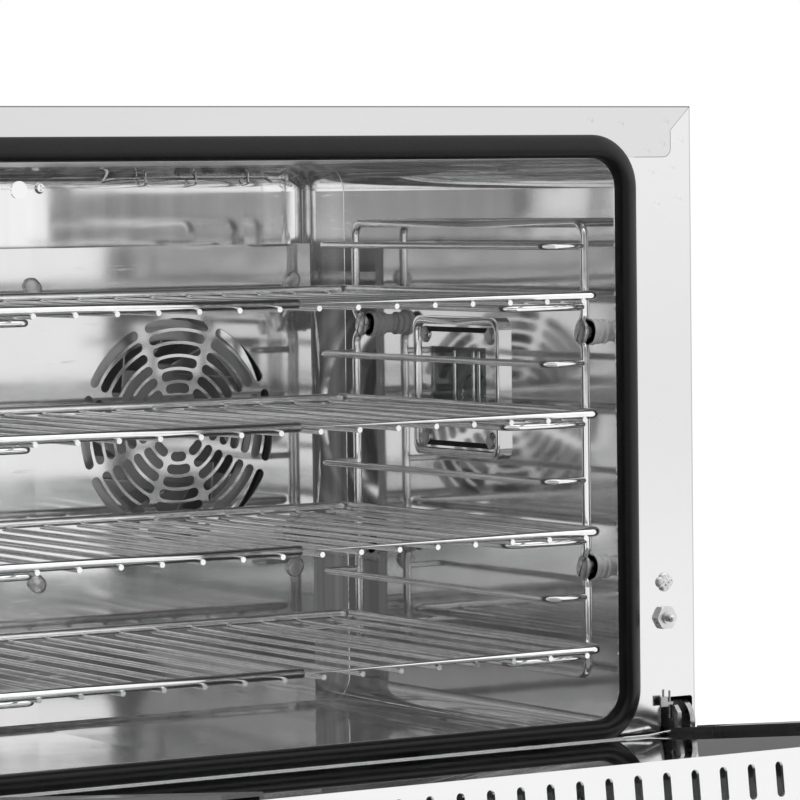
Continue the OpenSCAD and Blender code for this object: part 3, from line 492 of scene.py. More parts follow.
class GeoTree(Nodes):
    """Geometry Nodes tree with named inputs."""

    def __init__(self, name: str) -> None:
        """Starts a tree with a geometry in and a geometry out."""
        super().__init__(bpy.data.node_groups.new(name, "GeometryNodeTree"))
        for way in ("INPUT", "OUTPUT"):
            self.tree.interface.new_socket("Geometry", in_out=way, socket_type="NodeSocketGeometry")
        self.start = self.tree.nodes.new("NodeGroupInput")
        self.end = self.tree.nodes.new("NodeGroupOutput")
        self.identifiers: dict[str, str] = {}

    def numbers(self, **defaults: float) -> list[bpy.types.NodeSocket]:
        """Adds inputs by name, with underscores for spaces, and returns their sockets inside the tree."""
        for key, value in defaults.items():
            name = key.replace("_", " ")
            item = self.tree.interface.new_socket(name, in_out="INPUT", socket_type="NodeSocketFloat")
            item.default_value = value
            self.identifiers[name] = item.identifier
        return [self.start.outputs[name] for name in self.identifiers]

    def node(self, kind: str, settings: dict | None = None, **inputs: object) -> bpy.types.NodeSocket:
        """Adds a node as `add` does, and returns its first output."""
        return self.add(kind, settings, **inputs).outputs[0]

    def product(self, first: bpy.types.NodeSocket, second: float) -> bpy.types.NodeSocket:
        """A socket times a number."""
        return self.maths("MULTIPLY", first, second)

    def vector(self, x: object, y: object, z: object) -> bpy.types.NodeSocket:
        """Three numbers as one vector."""
        return self.node("ShaderNodeCombineXYZ", X=x, Y=y, Z=z)

    def block(self, x: bpy.types.NodeSocket, y: bpy.types.NodeSocket, z: bpy.types.NodeSocket,
              middle: bpy.types.NodeSocket) -> bpy.types.NodeSocket:
        """A box of a given size, its centre at a given height."""
        cube = self.node("GeometryNodeMeshCube", Size=self.vector(x, y, z))
        return self.node("GeometryNodeTransform", Geometry=cube, Translation=self.vector(0.0, 0.0, middle))

    def smoothed(self, geometry: bpy.types.NodeSocket, limit: float = 0.6) -> bpy.types.NodeSocket:
        """Shades smooth except across edges sharper than a limit."""
        soft = self.node("GeometryNodeSetShadeSmooth", {"domain": "FACE"}, Geometry=geometry)
        sharp = self.node("FunctionNodeCompare", {"data_type": "FLOAT", "operation": "GREATER_THAN"},
                          A=self.node("GeometryNodeInputMeshEdgeAngle"), B=limit)
        return self.node("GeometryNodeSetShadeSmooth", {"domain": "EDGE"}, Geometry=soft, Selection=sharp,
                         Shade_Smooth=False)

    def close(self, geometry: bpy.types.NodeSocket, material: bpy.types.Material) -> None:
        """Ends the tree with real instances and a material."""
        real = self.node("GeometryNodeRealizeInstances", Geometry=geometry)
        self.put(self.node("GeometryNodeSetMaterial", Geometry=real, Material=material), self.end.inputs[0])

    def grow(self, name: str, mesh: bpy.types.Mesh, **values: float) -> bpy.types.Object:
        """Runs the tree on a mesh and keeps the result as a plain object.

        Args:
            name: The new object's name.
            mesh: What the tree starts from.
            **values: Inputs by name, with underscores for spaces.

        Returns:
            The object.
        """
        seed = bpy.data.objects.new(name + "_seed", mesh)
        bpy.context.scene.collection.objects.link(seed)
        modifier = seed.modifiers.new("grow", "NODES")
        modifier.node_group = self.tree
        for key, value in values.items():
            modifier[self.identifiers[key.replace("_", " ")]] = value
        bpy.context.view_layer.update()
        graph = bpy.context.evaluated_depsgraph_get()
        made = bpy.data.meshes.new_from_object(seed.evaluated_get(graph), depsgraph=graph)
        made.name = name
        piece = bpy.data.objects.new(name, made)
        bpy.context.scene.collection.objects.link(piece)
        bpy.data.objects.remove(seed)
        return piece


def path_mesh(name: str, paths: Iterable[tuple[Sequence[Point], bool]]) -> bpy.types.Mesh:
    """Polylines as a mesh of edges.

    Args:
        name: The mesh's name.
        paths: Each path's points and whether it closes on itself.

    Returns:
        The mesh.
    """
    points: list[Point] = []
    edges: list[tuple[int, int]] = []
    for path, closed in paths:
        first = len(points)
        points.extend(path)
        edges.extend((i, i + 1) for i in range(first, len(points) - 1))
        if closed:
            edges.append((len(points) - 1, first))
    mesh = bpy.data.meshes.new(name)
    mesh.from_pydata(points, edges, [])
    return mesh


class WireBender:
    """Bends round wire along polylines, with one tree for each material."""

    corner_steps = 8
    sides = 20

    def __init__(self, material: bpy.types.Material) -> None:
        """Builds the tree."""
        g = GeoTree("bent_" + material.name)
        thick, bend = g.numbers(Diameter=0.005, Bend_radius=0.008)
        line = g.node("GeometryNodeMeshToCurve", Mesh=g.start.outputs[0])
        bent = g.node("GeometryNodeFilletCurve", {"mode": "POLY"}, Curve=line, Radius=bend,
                      Count=self.corner_steps, Limit_Radius=True)
        ring = g.node("GeometryNodeCurvePrimitiveCircle", Resolution=self.sides, Radius=g.product(thick, 0.5))
        tube = g.node("GeometryNodeCurveToMesh", Curve=bent, Profile_Curve=ring, Fill_Caps=True)
        g.close(g.node("GeometryNodeSetShadeSmooth", Geometry=tube), material)
        self.tree = g

    def bend(self, name: str, paths: Iterable[tuple[Sequence[Point], bool]], diameter: float,
             radius: float) -> bpy.types.Object:
        """Makes wires of one diameter.

        Args:
            name: The piece's name.
            paths: Each wire's centre line and whether it closes on itself.
            diameter: Wire diameter in metres.
            radius: Bend radius in metres.

        Returns:
            The piece.
        """
        return self.tree.grow(name, path_mesh(name, paths), Diameter=diameter, Bend_radius=radius)


def joined(name: str, pieces: Sequence[bpy.types.Object]) -> bpy.types.Object:
    """Joins pieces into one object.

    Args:
        name: The joined object's name.
        pieces: Objects at the origin.

    Returns:
        The joined object.
    """
    first = pieces[0]
    with bpy.context.temp_override(active_object=first, selected_editable_objects=list(pieces)):
        bpy.ops.object.join()
    first.name = name
    first.data.name = name
    return first


def seat(piece: bpy.types.Object, body: str, slot: str, *nodes: str) -> None:
    """Puts a finished piece on its body.

    Args:
        piece: The piece.
        body: The CAD body that carries it.
        slot: The record's material slot it is finished in; not used.
        *nodes: CAD nodes that it stands for.
    """
    if nodes:
        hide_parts(*nodes)
    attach(piece, body)
    LOG.info("%s on %s: %d faces", piece.name, body, len(piece.data.polygons))


@dataclass
class WireShelf:
    """Rod frame over thin cross wires with rounded cut ends."""

    number: int
    rod: float = 6 * MM
    cross: float = 3.5 * MM
    bend: float = 9 * MM
    wires: int = 16
    inset: float = 16 * MM
    sink: float = 1.55 * MM
    front_gap: float = 0.2 * MM
    back_gap: float = 0.4 * MM

    def build(self, bender: WireBender) -> None:
        """Bends the frame and the cross wires and seats them as one piece."""
        node = f"shelf_{self.number}"
        low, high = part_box(node)
        r = self.rod / 2
        top = high[2] - r
        left, right, front, back = low[0] + r, high[0] - r, low[1] + r, high[1] - r
        corners = [((left + right) / 2, front, top), (right, front, top), (right, back, top),
                   (left, back, top), (left, front, top)]
        rim = bender.bend(node + "_rim", [(corners, True)], self.rod, self.bend)
        drop = (self.rod + self.cross) / 2 - self.sink
        step = (high[0] - low[0] - 2 * self.inset) / (self.wires - 1)
        places = (low[0] + self.inset + i * step for i in range(self.wires))
        rows = [(((x, low[1] + self.front_gap, top - drop), (x, high[1] - self.back_gap, top - drop)), False)
                for x in places]
        mesh = bender.bend(node + "_cross", rows, self.cross, 0.0)
        piece = joined(f"wire_shelf_{self.number}", [rim, mesh])
        seat(piece, node, "bright_wire", node)


@dataclass
class SideRack:
    """Closed wire frame with kinks at its screws, with guide and runner wires welded on."""

    side: int
    node: str
    wire: float = 5.8 * MM
    guide: float = 4.5 * MM
    bend: float = 9 * MM
    kink: float = 5.9 * MM
    kink_rise: float = 75.5 * MM
    kink_half: float = 9 * MM
    kink_flat: float = 3.5 * MM
    pitch: float = 75 * MM
    first_drop: float = 14.5 * MM
    runner_drop: float = 39 * MM
    guide_bend: float = 8 * MM
    guide_leg: float = 29.4 * MM
    runner_leg: float = 60 * MM

    def kinks(self, y: float, middle: float, way: int) -> list[tuple[float, float]]:
        """Inward kinks of one upright.

        Args:
            y: The upright's depth.
            middle: Height between the two kinks.
            way: 1 down the front upright, -1 up the back one.

        Returns:
            Points as depth and height.
        """
        points = []
        for place in (way, -way):
            z = middle + place * self.kink_rise
            half, flat, inner = way * self.kink_half, way * self.kink_flat, y + way * self.kink
            points += [(y, z + half), (inner, z + flat), (inner, z - flat), (y, z - half)]
        return points

    def build(self, bender: WireBender) -> None:
        """Bends the frame and its wires and seats them as one piece."""
        low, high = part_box(self.node)
        r = self.wire / 2
        x = max(abs(low[0]), abs(high[0])) - r
        front, back, bottom, top = low[1] + r, high[1] - r, low[2] + r, high[2] - r
        path = [((front + back) / 2, top), (front, top), *self.kinks(front, (top + bottom) / 2, 1),
                (front, bottom), (back, bottom), *self.kinks(back, (top + bottom) / 2, -1), (back, top)]
        frame_wire = bender.bend(self.node + "_frame", [([(self.side * x, y, z) for y, z in path], True)],
                                 self.wire, self.bend)
        wires = []
        for level in range(4):
            z = top - self.first_drop - level * self.pitch
            for height, leg in ((z, self.guide_leg), (z - self.runner_drop, self.runner_leg)):
                inner = self.side * (x - leg)
                wires.append(([(self.side * x, front, height), (inner, front, height), (inner, back, height),
                               (self.side * x, back, height)], False))
        guides = bender.bend(self.node + "_guides", wires, self.guide, self.guide_bend)
        seat(joined(self.node.replace("side_rack", "wire_rack"), [frame_wire, guides]), "cabinet",
             "bright_wire", self.node)


@dataclass(frozen=True)
class Screw:
    """Where one screw sits."""

    place: Point
    facing: Point
    turn: float = 0.0


@dataclass(frozen=True)
class Head:
    """Sizes of one kind of screw, in millimetres."""

    width: float
    dome: float
    rim: float
    slot: float
    shank: float
    reach: float
    cross: bool = False


class ScrewMaker:
    """Low-domed screw heads with a slot or a cross, on a rim and a shank."""

    overlap = 0.49
    slot_middle = 0.56
    cross_share = 0.6
    round_steps = 28

    def __init__(self, material: bpy.types.Material) -> None:
        """Builds the tree."""
        g = GeoTree("screws_" + material.name)
        radius, height, length, width, across, along, rim, shank, reach = g.numbers(
            Head_radius=0.005, Head_height=0.002, Slot_length=0.02, Slot_width=0.0012, Cross_width=0.0012,
            Cross_length=0.0012, Rim_height=0.001, Shank_radius=0.002, Shank_length=0.004)
        ball = g.node("GeometryNodeMeshUVSphere", Segments=self.round_steps, Rings=18, Radius=1.0)
        dome = g.node("GeometryNodeTransform", Geometry=ball, Scale=g.vector(radius, radius, height))
        middle = g.product(height, self.slot_middle)
        tools = [g.block(length, width, height, middle), g.block(across, along, height, middle),
                 g.block(length, length, height, g.product(height, -1.0))]
        cut = g.node("GeometryNodeMeshBoolean", {"operation": "DIFFERENCE", "solver": "EXACT"}, Mesh_1=dome,
                     Mesh_2=tools)
        parts = [cut]
        for steps, wide, long in ((self.round_steps, g.product(radius, 0.995), rim), (20, shank, reach)):
            rod = g.node("GeometryNodeMeshCylinder", Vertices=steps, Radius=wide, Depth=long)
            parts.append(g.node("GeometryNodeTransform", Geometry=rod,
                                Translation=g.vector(0.0, 0.0, g.product(long, -self.overlap))))
        turn = g.node("GeometryNodeInputNamedAttribute", {"data_type": "FLOAT_VECTOR"}, Name="turn")
        placed = g.node("GeometryNodeInstanceOnPoints", Points=g.start.outputs[0],
                        Instance=g.node("GeometryNodeJoinGeometry", Geometry=parts),
                        Rotation=g.node("FunctionNodeEulerToRotation", Euler=turn))
        g.close(g.smoothed(placed), material)
        self.tree = g

    def make(self, name: str, screws: Sequence[Screw], head: Head) -> bpy.types.Object:
        """Makes a set of equal screws.

        Args:
            name: The piece's name.
            screws: Where they sit.
            head: Their sizes.

        Returns:
            The piece.
        """
        mesh = bpy.data.meshes.new(name + "_points")
        mesh.from_pydata([screw.place for screw in screws], [], [])
        turns = mesh.attributes.new("turn", "FLOAT_VECTOR", "POINT")
        for item, screw in zip(turns.data, screws):
            aim = Vector(screw.facing).to_track_quat("Z", "Y").to_matrix()
            item.vector = (aim @ Matrix.Rotation(screw.turn, 3, "Z")).to_euler()
        width, slot = head.width * MM, head.slot * MM
        size = width * self.cross_share if head.cross else width * 2
        return self.tree.grow(name, mesh, Head_radius=width / 2, Head_height=head.dome * MM, Slot_length=size,
                              Slot_width=slot, Cross_width=slot * 0.98,
                              Cross_length=size if head.cross else slot * 0.9, Rim_height=head.rim * MM,
                              Shank_radius=head.shank * MM / 2, Shank_length=head.reach * MM)


class Fasteners:
    """Every screw head that shows, at the places of the CAD screws."""

    stile = Head(7.6, 1.4, 1.0, 1.1, 4.4, 13.0, True)
    guard = Head(11.5, 1.7, 1.7, 1.9, 5.0, 17.0)
    lamp = Head(7.5, 1.4, 0.8, 1.0, 3.6, 3.0, True)
    rack = Head(13.0, 1.5, 1.3, 1.4, 6.0, 24.0)
    guard_seat: float = 1.5 * MM
    guard_turn: float = 85.0
    middle_zone: float = 50 * MM
    rack_seat: float = 6.4 * MM
    rack_turn: float = 1.05
    sleeve_gap: float = 0.1 * MM

    def __init__(self, maker: ScrewMaker) -> None:
        """Keeps the screw maker."""
        self.maker = maker

    @staticmethod
    def centres(node: str, axis: int, near: float) -> list[Point]:
        """Head positions of a CAD node's separate screws.

        Args:
            node: The CAD node.
            axis: The screws' axis, whose low end is the heads'.
            near: Head height, which lies above the seat.

        Returns:
            The middle of each head's underside.
        """
        mesh = frame["nodes"][node].data
        links: dict[int, set[int]] = {v.index: set() for v in mesh.vertices}
        for edge in mesh.edges:
            a, b = edge.vertices
            links[a].add(b)
            links[b].add(a)
        left = set(links)
        places = []
        while left:
            group, queue = set(), [left.pop()]
            while queue:
                point = queue.pop()
                group.add(point)
                fresh = links[point] & left
                left -= fresh
                queue += fresh
            spots = [mesh.vertices[i].co for i in group]
            low = [min(v[k] for v in spots) for k in range(3)]
            high = [max(v[k] for v in spots) for k in range(3)]
            place = [(a + b) / 2 for a, b in zip(low, high)]
            place[axis] = low[axis] + near
            places.append(tuple(place))
        return places

    def crossed(self, name: str, node: str, axis: int, turn: float, head: Head) -> None:
        """Cross-head screws in place of a CAD node's.

        Args:
            name: The new piece's name.
            node: The CAD node.
            axis: The screws' axis.
            turn: Turn of each cross, in radians.
            head: The screws' sizes.
        """
        facing = tuple(-1.0 if k == axis else 0.0 for k in range(3))
        heads = [Screw(place, facing, turn) for place in self.centres(node, axis, head.dome * MM)]
        seat(self.maker.make(name, heads, head), "cabinet", "zinc", node)

    def baffle_screws(self) -> None:
        """Slotted screws of the fan guard, their slots slanted by side."""
        heads = []
        for x, y, z in self.centres("baffle_screws", 1, self.guard_seat):
            turn = 45 - math.copysign(self.guard_turn, x) * (abs(x) > self.middle_zone)
            heads.append(Screw((x, y, z), (0, -1, 0), math.radians(turn)))
        seat(self.maker.make("guard_screws", heads, self.guard), "cabinet", "zinc", "baffle_screws")

    def rack_screws(self) -> None:
        """Slotted screws of the side racks, in ribbed sleeves that stand on the wall."""
        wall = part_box("cavity_liner")[1][0] - LINER_FLANGE
        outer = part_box("side_rack_right")[1][0]
        heads, parts = [], []
        for x, y, z in self.centres("side_rack_screws", 0, 0.0):
            side = math.copysign(1.0, x)
            heads.append(Screw((side * (outer - self.rack_seat), y, z), (-side, 0, 0), self.rack_turn))
            parts.append(Sleeve(side * (outer + self.sleeve_gap), side * (wall - self.sleeve_gap)).turn(y, z))
        screws = self.maker.make("rack_heads", heads, self.rack)
        seat(joined("rack_screws", [screws, *parts]), "cabinet", "zinc", "side_rack_screws")

    def build(self) -> None:
        """Makes every set."""
        self.crossed("stile_screws", "face_screws", 1, 0.55, self.stile)
        self.baffle_screws()
        self.crossed("lamp_frame_screws", "lamp_screws", 0, 0.3, self.lamp)
        self.rack_screws()


def prism(name: str, rings: Sequence[Sequence[Point]], closed: bool) -> bpy.types.Object:
    """Skin over rings of points.

    Args:
        name: The object's name.
        rings: Every ring in order, all with as many points.
        closed: Whether the last ring joins the first, or else both ends are capped.

    Returns:
        The object, shaded smooth except at sharp edges.
    """
    count, total = len(rings[0]), len(rings)
    points = [point for ring in rings for point in ring]
    faces: list[tuple[int, ...]] = []
    for i in range(total if closed else total - 1):
        for j in range(count):
            k, m = (j + 1) % count, (i + 1) % total
            faces.append((i * count + j, i * count + k, m * count + k, m * count + j))
    if not closed:
        faces += [tuple(range(count)), tuple(range((total - 1) * count, total * count))]
    mesh = bpy.data.meshes.new(name)
    mesh.from_pydata(points, [], faces)
    shape = bmesh.new()
    shape.from_mesh(mesh)
    bmesh.ops.recalc_face_normals(shape, faces=shape.faces)
    if shape.calc_volume(signed=True) < 0:
        bmesh.ops.reverse_faces(shape, faces=shape.faces)
    shape.to_mesh(mesh)
    shape.free()
    mesh.shade_smooth()
    mesh.set_sharp_from_angle(angle=math.radians(38))
    piece = bpy.data.objects.new(name, mesh)
    bpy.context.scene.collection.objects.link(piece)
    return piece


@dataclass
class Sleeve:
    """Ribbed round sleeve along X, from a wire to the wall."""

    near: float
    far: float
    bore: float = 3.1 * MM
    steps: int = 28
    outline: tuple[tuple[float, float], ...] = (
        (0.0, 7.0), (0.17, 7.0), (0.19, 4.9), (0.33, 4.9), (0.37, 6.3), (0.46, 6.3), (0.5, 4.9), (0.6, 4.9),
        (0.64, 6.3), (0.73, 6.3), (0.77, 4.9), (1.0, 4.9))

    def turn(self, y: float, z: float) -> bpy.types.Object:
        """Turns the sleeve round a screw at a given Y and Z."""
        profile = [(t, r * MM) for t, r in self.outline] + [(1.0, self.bore), (0.0, self.bore)]
        rings = []
        for i in range(self.steps):
            angle = 2 * math.pi * i / self.steps
            rings.append([(self.near + (self.far - self.near) * t, y + r * math.cos(angle),
                           z + r * math.sin(angle)) for t, r in profile])
        return prism("sleeve", rings, True)


@dataclass
class MouthRing:
    """Profile swept round a rounded rectangle that stands in X and Z."""

    half: float
    low: float
    high: float
    radius: float
    front: float
    steps: int = 14

    def sweep(self, name: str, profile: Sequence[tuple[float, float]]) -> bpy.types.Object:
        """Sweeps a profile.

        Args:
            name: The piece's name.
            profile: Points as distance outward from the rectangle and distance forward of its plane.

        Returns:
            The closed ring.
        """
        rings = []
        corners = ((1, 1, 0), (-1, 1, 90), (-1, -1, 180), (1, -1, 270))
        for across, up, start in corners:
            x = across * (self.half - self.radius)
            z = (self.high - self.radius) if up > 0 else (self.low + self.radius)
            for i in range(self.steps + 1):
                angle = math.radians(start + 90 * i / self.steps)
                rings.append([(x + (self.radius + u) * math.cos(angle), self.front - v,
                               z + (self.radius + u) * math.sin(angle)) for u, v in profile])
        return prism(name, rings, True)


@dataclass
class DoorSeal:
    """Black seal round the mouth: steep inner side, a ridge, and a long slope outward."""

    width: float = 15.0 * MM
    corner: float = 18.7 * MM
    section: tuple[tuple[float, float], ...] = (
        (0.15, -1.4), (0.15, 1.5), (0.5, 4.2), (1.2, 6.3), (2.2, 7.6), (3.3, 8.2), (4.3, 8.3), (5.6, 7.9),
        (7.4, 7.1), (9.4, 6.0), (11.4, 4.7), (13.2, 3.3), (14.5, 1.9), (15.0, 0.8), (15.0, 0.0), (14.0, 0.0),
        (1.0, 0.0), (0.8, -1.4))

    def build(self) -> None:
        """Sweeps the section round the mouth and seats it."""
        low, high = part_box("mouth_gasket")
        ring = MouthRing(high[0] - self.width, low[2] + self.width, high[2] - self.width, self.corner,
                         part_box("face_top_rail")[0][1])
        seat(ring.sweep("door_seal", [(u * MM, v * MM) for u, v in self.section]), "cabinet",
             "silicone_black", "mouth_gasket")


@dataclass
class LinerCove:
    """Rounded corner between the cavity's rear wall and its sides."""

    radius: float = 15.0 * MM
    corner: float = 18.7 * MM
    wall: float = 1.2 * MM
    steps: int = 8

    def build(self) -> None:
        """Sweeps the cove round the rear of the cavity and seats it."""
        low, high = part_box("cavity_liner")
        arc = [math.radians(90 * i / self.steps) for i in range(self.steps + 1)]
        section = [(-self.radius * (1 - math.sin(a)), self.radius * (1 - math.cos(a))) for a in arc]
        section += [(0.4 * MM, self.radius), (0.4 * MM, -0.4 * MM), (-self.radius, -0.4 * MM)]
        ring = MouthRing(high[0] - LINER_FLANGE, low[2] + LINER_FLANGE, high[2] - LINER_FLANGE, self.corner,
                         high[1] - self.wall)
        seat(ring.sweep("liner_cove", section), "cabinet", "mirror_steel")


@dataclass
class LampTrim:
    """Rolled rim round the lamp's frame, black strips along its long edges that paint the shade in the gaps
    there, and the lamp's clips.
    """

    rim: float = 5.5 * MM
    rim_lift: float = 1.6 * MM
    corner: float = 8 * MM
    # Height of each black strip that paints the shade in a gap.
    seal: float = 3.4 * MM
    seal_inset: float = 1.6 * MM
    seal_end: float = 9 * MM
    plate: float = 2 * MM
    clip: float = 3.4 * MM
    clip_half: float = 24 * MM
    clip_depth: float = 7 * MM
    clip_places: tuple[float, ...] = (-14 * MM, -7 * MM, 16 * MM)
    filament: float = 1.2 * MM

    def build(self, bender: WireBender) -> None:
        """Bends the rim and clips, lays the black painted-shade strips and seats them."""
        low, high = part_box("lamp_frame")
        r = self.rim / 2
        x = low[0] + self.rim_lift
        y0, y1, z0, z1 = low[1] + r, high[1] - r, low[2] + r, high[2] - r
        y, z = (y0 + y1) / 2, (z0 + z1) / 2
        path = [(x, y, z1), (x, y0, z1), (x, y0, z0), (x, y1, z0), (x, y1, z1)]
        seat(bender.bend("lamp_rim", [(path, True)], self.rim, self.corner), "cabinet", "bright_wire")
        near, far = low[0] + self.plate - 0.9 * MM, low[0] + self.plate + 0.2 * MM
        inset = r + self.seal_inset
        # Painted shade: black strips stand in for the shade in the gaps above and below the lamp's plate.
        gap_shadows = []
        for name, base in (("upper", z1 - inset - self.seal), ("lower", z0 + inset)):
            ring = [(near, base), (far, base), (far, base + self.seal), (near, base + self.seal)]
            rings = [[(u, end, v) for u, v in ring] for end in (y0 + self.seal_end, y1 - self.seal_end)]
            gap_shadows.append(prism(f"lamp_gap_shadow_{name}", rings, False))
        seat(joined("lamp_gap_shadows", gap_shadows), "cabinet", "silicone_black")
        deep = high[0] + self.clip_depth
        clips = [([(deep, y + step, z - self.clip_half), (deep, y + step, z + self.clip_half)], False)
                 for step in self.clip_places]
        zigzag = [(high[0] + 5 * MM, y + (3 + 2 * (i % 2)) * MM, z - (16 - 2.2 * i) * MM) for i in range(9)]
        seat(joined("lamp_clips", [bender.bend("lamp_clip", clips, self.clip, 0.0),
                                   bender.bend("lamp_filament", [(zigzag, False)], self.filament, 0.3 * MM)]),
             "cabinet", "bright_wire")


@dataclass
class Probe:
    """Thermostat bulb on its thin tube, held by clips on the rear wall."""

    bulb: float = 4.6 * MM
    bulb_start: float = 0.42
    bulb_end: float = 12 * MM
    stand_off: float = 6 * MM
    drop: float = 2.8 * MM
    tube: float = 1.8 * MM
    clip: float = 1.6 * MM
    clip_reach: float = 3.4 * MM

    def build(self, bender: WireBender) -> None:
        """Bends the bulb, tube and clips and seats them as one piece."""
        low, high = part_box("thermostat_probe")
        wall = high[1]
        y, z = wall - self.stand_off, high[2] - self.drop
        left, right = low[0], high[0]
        middle = left + self.bulb_start * (right - left)
        bulb = [([(middle, y, z), (right - self.bulb_end, y, z)], False)]
        leads = [([(left, wall, z - 3 * MM), (left + 6 * MM, y, z - 1 * MM), (middle + 2 * MM, y, z)], False),
                 ([(right - 13 * MM, y, z), (right - 3 * MM, wall - 2 * MM, z - 4 * MM)], False)]
        front, top = y - self.clip_reach, z + 4 * MM
        hooks = [([(x, wall, z - 6 * MM), (x, front, z - 5 * MM), (x, front, top), (x, wall, top)], False)
                 for x in (left + 30 * MM, middle + 12 * MM, right - 26 * MM)]
        parts = [bender.bend("probe_bulb", bulb, self.bulb, 0.0),
                 bender.bend("probe_tube", leads, self.tube, 3 * MM),
                 bender.bend("probe_clips", hooks, self.clip, 2 * MM)]
        seat(joined("thermostat_bulb", parts), "cabinet", "probe_copper", "thermostat_probe")


@dataclass
class DoorStrip:
    """Bright strip on the inner pane's lower edge, its ends lifted off the glass."""

    lift: float = 1.6 * MM
    bend: float = 18 * MM

    def build(self) -> None:
        """Skins the strip along the door's lower edge and seats it."""
        low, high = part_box("door_trim_strip")
        rings = []
        for side in (-1, 1):
            ends = [(side * high[0], self.lift), (side * (high[0] - self.bend), 0.0)]
            for x, up in (ends if side < 0 else ends[::-1]):
                rings.append([(x, low[1], high[2] - 1.15 * MM + up), (x, high[1], low[2] + 0.05 * MM + up),
                              (x, high[1], low[2] + 0.9 * MM + up), (x, low[1] + 0.4 * MM, high[2] + up),
                              (x, low[1], high[2] - 0.25 * MM + up)])
        seat(prism("door_edge_strip", rings, False), "door", "face_steel", "door_trim_strip")


def soften(width: float, *nodes: str) -> None:
    """Rounds the sharp edges of CAD pieces.

    Args:
        width: Width of the rounding.
        *nodes: The pieces.
    """
    for node in nodes:
        bevel = frame["nodes"][node].modifiers.new("edges", "BEVEL")
        bevel.width = width
        bevel.segments = 3
        bevel.limit_method = "ANGLE"
        bevel.angle_limit = math.radians(50)


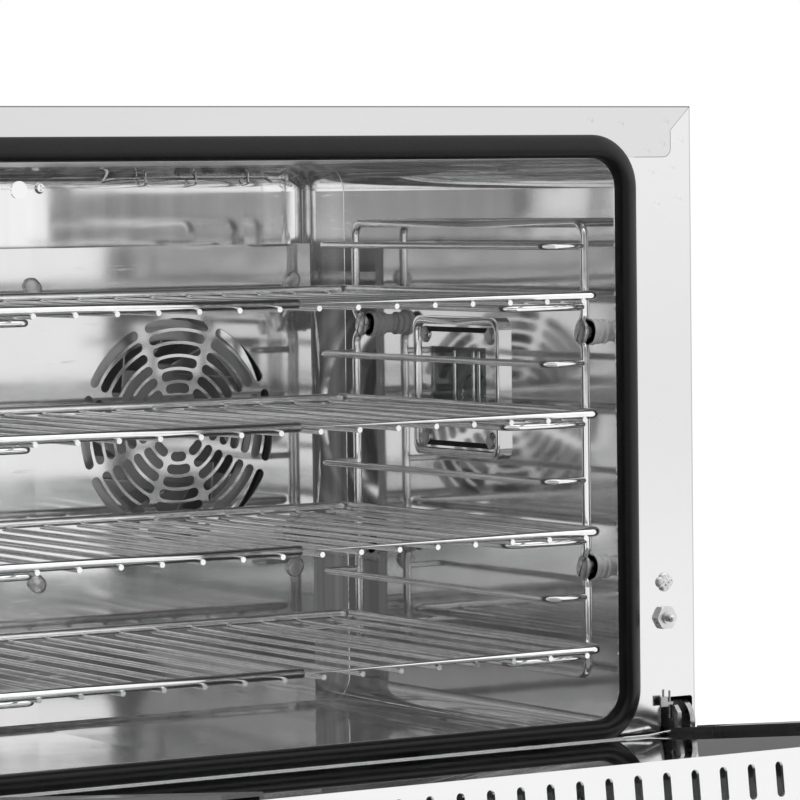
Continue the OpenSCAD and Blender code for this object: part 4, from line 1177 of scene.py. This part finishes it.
@dataclass
class Studio:
    """Floor, world, lamps and the camera at the photograph's viewing angle."""

    focal_px: float = 4378.49
    image_px: float = 800.0
    sensor: float = 36.0
    yaw: float = 32.41
    pitch: float = 2.74
    roll: float = -0.68
    eye: Point = (-1.37074, -2.32904, 0.44824)
    floor_size: float = 30.0
    dark_side: Point = (-0.50, -0.86, 0.05)
    # Direction in which the painted shade on the floor deepens.
    floor_way: tuple[float, float] = (0.54, 0.84)
    plain_light: float = 0.5
    floor_glow: float = 1.1
    floor_share: float = 0.85
    aim: Point = (0, 0, 0.3)

    def camera(self) -> None:
        """Places the camera."""
        a, b, c = (math.radians(v) for v in (self.yaw, self.pitch, self.roll))
        ahead = Vector((math.sin(a) * math.cos(b), math.cos(a) * math.cos(b), -math.sin(b)))
        right = Vector((math.cos(a), -math.sin(a), 0.0))
        up = right.cross(ahead)
        side = math.cos(c) * right + math.sin(c) * up
        over = -math.sin(c) * right + math.cos(c) * up
        data = bpy.data.cameras.new("camera")
        data.sensor_width = self.sensor
        data.lens = self.focal_px * self.sensor / self.image_px
        data.clip_end = 100.0
        eye = bpy.data.objects.new("camera", data)
        bpy.context.scene.collection.objects.link(eye)
        turn = Matrix((side, over, -ahead)).transposed().to_4x4()
        eye.matrix_world = Matrix.Translation(self.eye) @ turn
        bpy.context.scene.camera = eye

    def world(self) -> None:
        """White surroundings; polished metal mirrors a dim side and a bright zone overhead."""
        world = bpy.data.worlds.new("studio")
        bpy.context.scene.world = world
        w = Shader(world)
        x, y, z = w.axes("Generated")
        dark = Vector(self.dark_side).normalized()
        fall = w.node("ShaderNodeMapRange", {"interpolation_type": "SMOOTHSTEP"}, From_Min=0.5, From_Max=0.93,
                      To_Min=1.0, To_Max=0.27, Value=x * dark.x + y * dark.y + z * dark.z)
        glossy, camera, through = (w.node("ShaderNodeLightPath", output=f"Is {kind} Ray")
                                   for kind in ("Glossy", "Camera", "Transmission"))
        high = w.ramp(z, 0.4, 0.6, 0.0, 0.35)
        plain, mirrored, shown = (w.node("ShaderNodeBackground", Color=(1, 1, 1, 1), Strength=strength)
                                  for strength in (self.plain_light, fall + high, 1.0))
        w.show(w.mix(camera.at_least(through), w.mix(glossy, plain, mirrored), shown))

    def floor(self) -> None:
        """A white floor that keeps the oven's shadow, with painted shade behind and to the right that only
        polished metal mirrors.
        """
        bpy.ops.mesh.primitive_plane_add(size=self.floor_size, location=(0, 0, 0))
        plane = bpy.context.object
        plane.name = "floor"
        white = bpy.data.materials.new("floor_white")
        s = Shader(white)
        x, y, _ = s.axes()
        # Painted shade: the floor's glow seen in reflections fades away behind and to the right of the oven.
        behind = s.ramp(x * self.floor_way[0] + y * self.floor_way[1], 0.6, 1.5)
        camera, glossy = (s.node("ShaderNodeLightPath", output=f"Is {kind} Ray")
                          for kind in ("Camera", "Glossy"))
        glow = s.node("ShaderNodeEmission", Color=(1, 1, 1, 1),
                      Strength=s.ramp(behind, 0.0, 1.0, 1.0, 0.08).at_least(camera * self.floor_glow))
        surface = s.node("ShaderNodeBsdfPrincipled", Base_Color=(0.9, 0.9, 0.9, 1), Roughness=0.8)
        s.show(s.mix(camera.at_least(glossy) * self.floor_share, surface, glow))
        plane.data.materials.append(white)

    def lamp(self, name: str, place: Point, size: float, power: float) -> None:
        """A square soft lamp, which polished metal doesn't mirror."""
        data = bpy.data.lights.new(name, "AREA")
        data.size = size
        data.energy = power
        lamp = bpy.data.objects.new(name, data)
        lamp.visible_glossy = False
        bpy.context.scene.collection.objects.link(lamp)
        lamp.location = place
        lamp.rotation_euler = (Vector(self.aim) - Vector(place)).to_track_quat("-Z", "Y").to_euler()

    def set_up(self) -> None:
        """Builds the whole studio."""
        bpy.context.scene.view_settings.view_transform = "Standard"
        self.camera()
        self.world()
        self.floor()
        self.lamp("key", (1.6, -2.6, 2.4), 1.6, 55)
        self.lamp("top", (-0.4, -0.6, 2.6), 1.8, 35)


def main() -> None:
    """Builds every piece in order."""
    logging.basicConfig(level=logging.INFO, format="%(name)s %(message)s")
    Studio().set_up()
    materials = Materials()
    materials.dress_nodes()
    chrome = WireBender(materials.get("bright_wire"))
    for number in range(1, 5):
        WireShelf(number).build(chrome)
    SideRack(1, "side_rack_right").build(chrome)
    SideRack(-1, "side_rack_left").build(chrome)
    Fasteners(ScrewMaker(materials.get("zinc"))).build()
    DoorSeal().build()
    LinerCove().build()
    LampTrim().build(chrome)
    Probe().build(WireBender(materials.get("probe_copper")))
    DoorStrip().build()
    # The lamp's black strips paint the shade in its gaps.
    for name, slot in (("door_seal", "silicone_black"), ("liner_cove", "mirror_steel"),
                       ("lamp_gap_shadows", "silicone_black"), ("door_edge_strip", "bright_wire")):
        bpy.data.objects[name].data.materials.append(materials.get(slot))
    soften(0.8 * MM, "door_rail_left", "door_rail_right")
    soften(0.5 * MM, "knob_timer", "knob_temperature", "rocker", "rocker_frame")


if __name__ == "__main__":
    main()
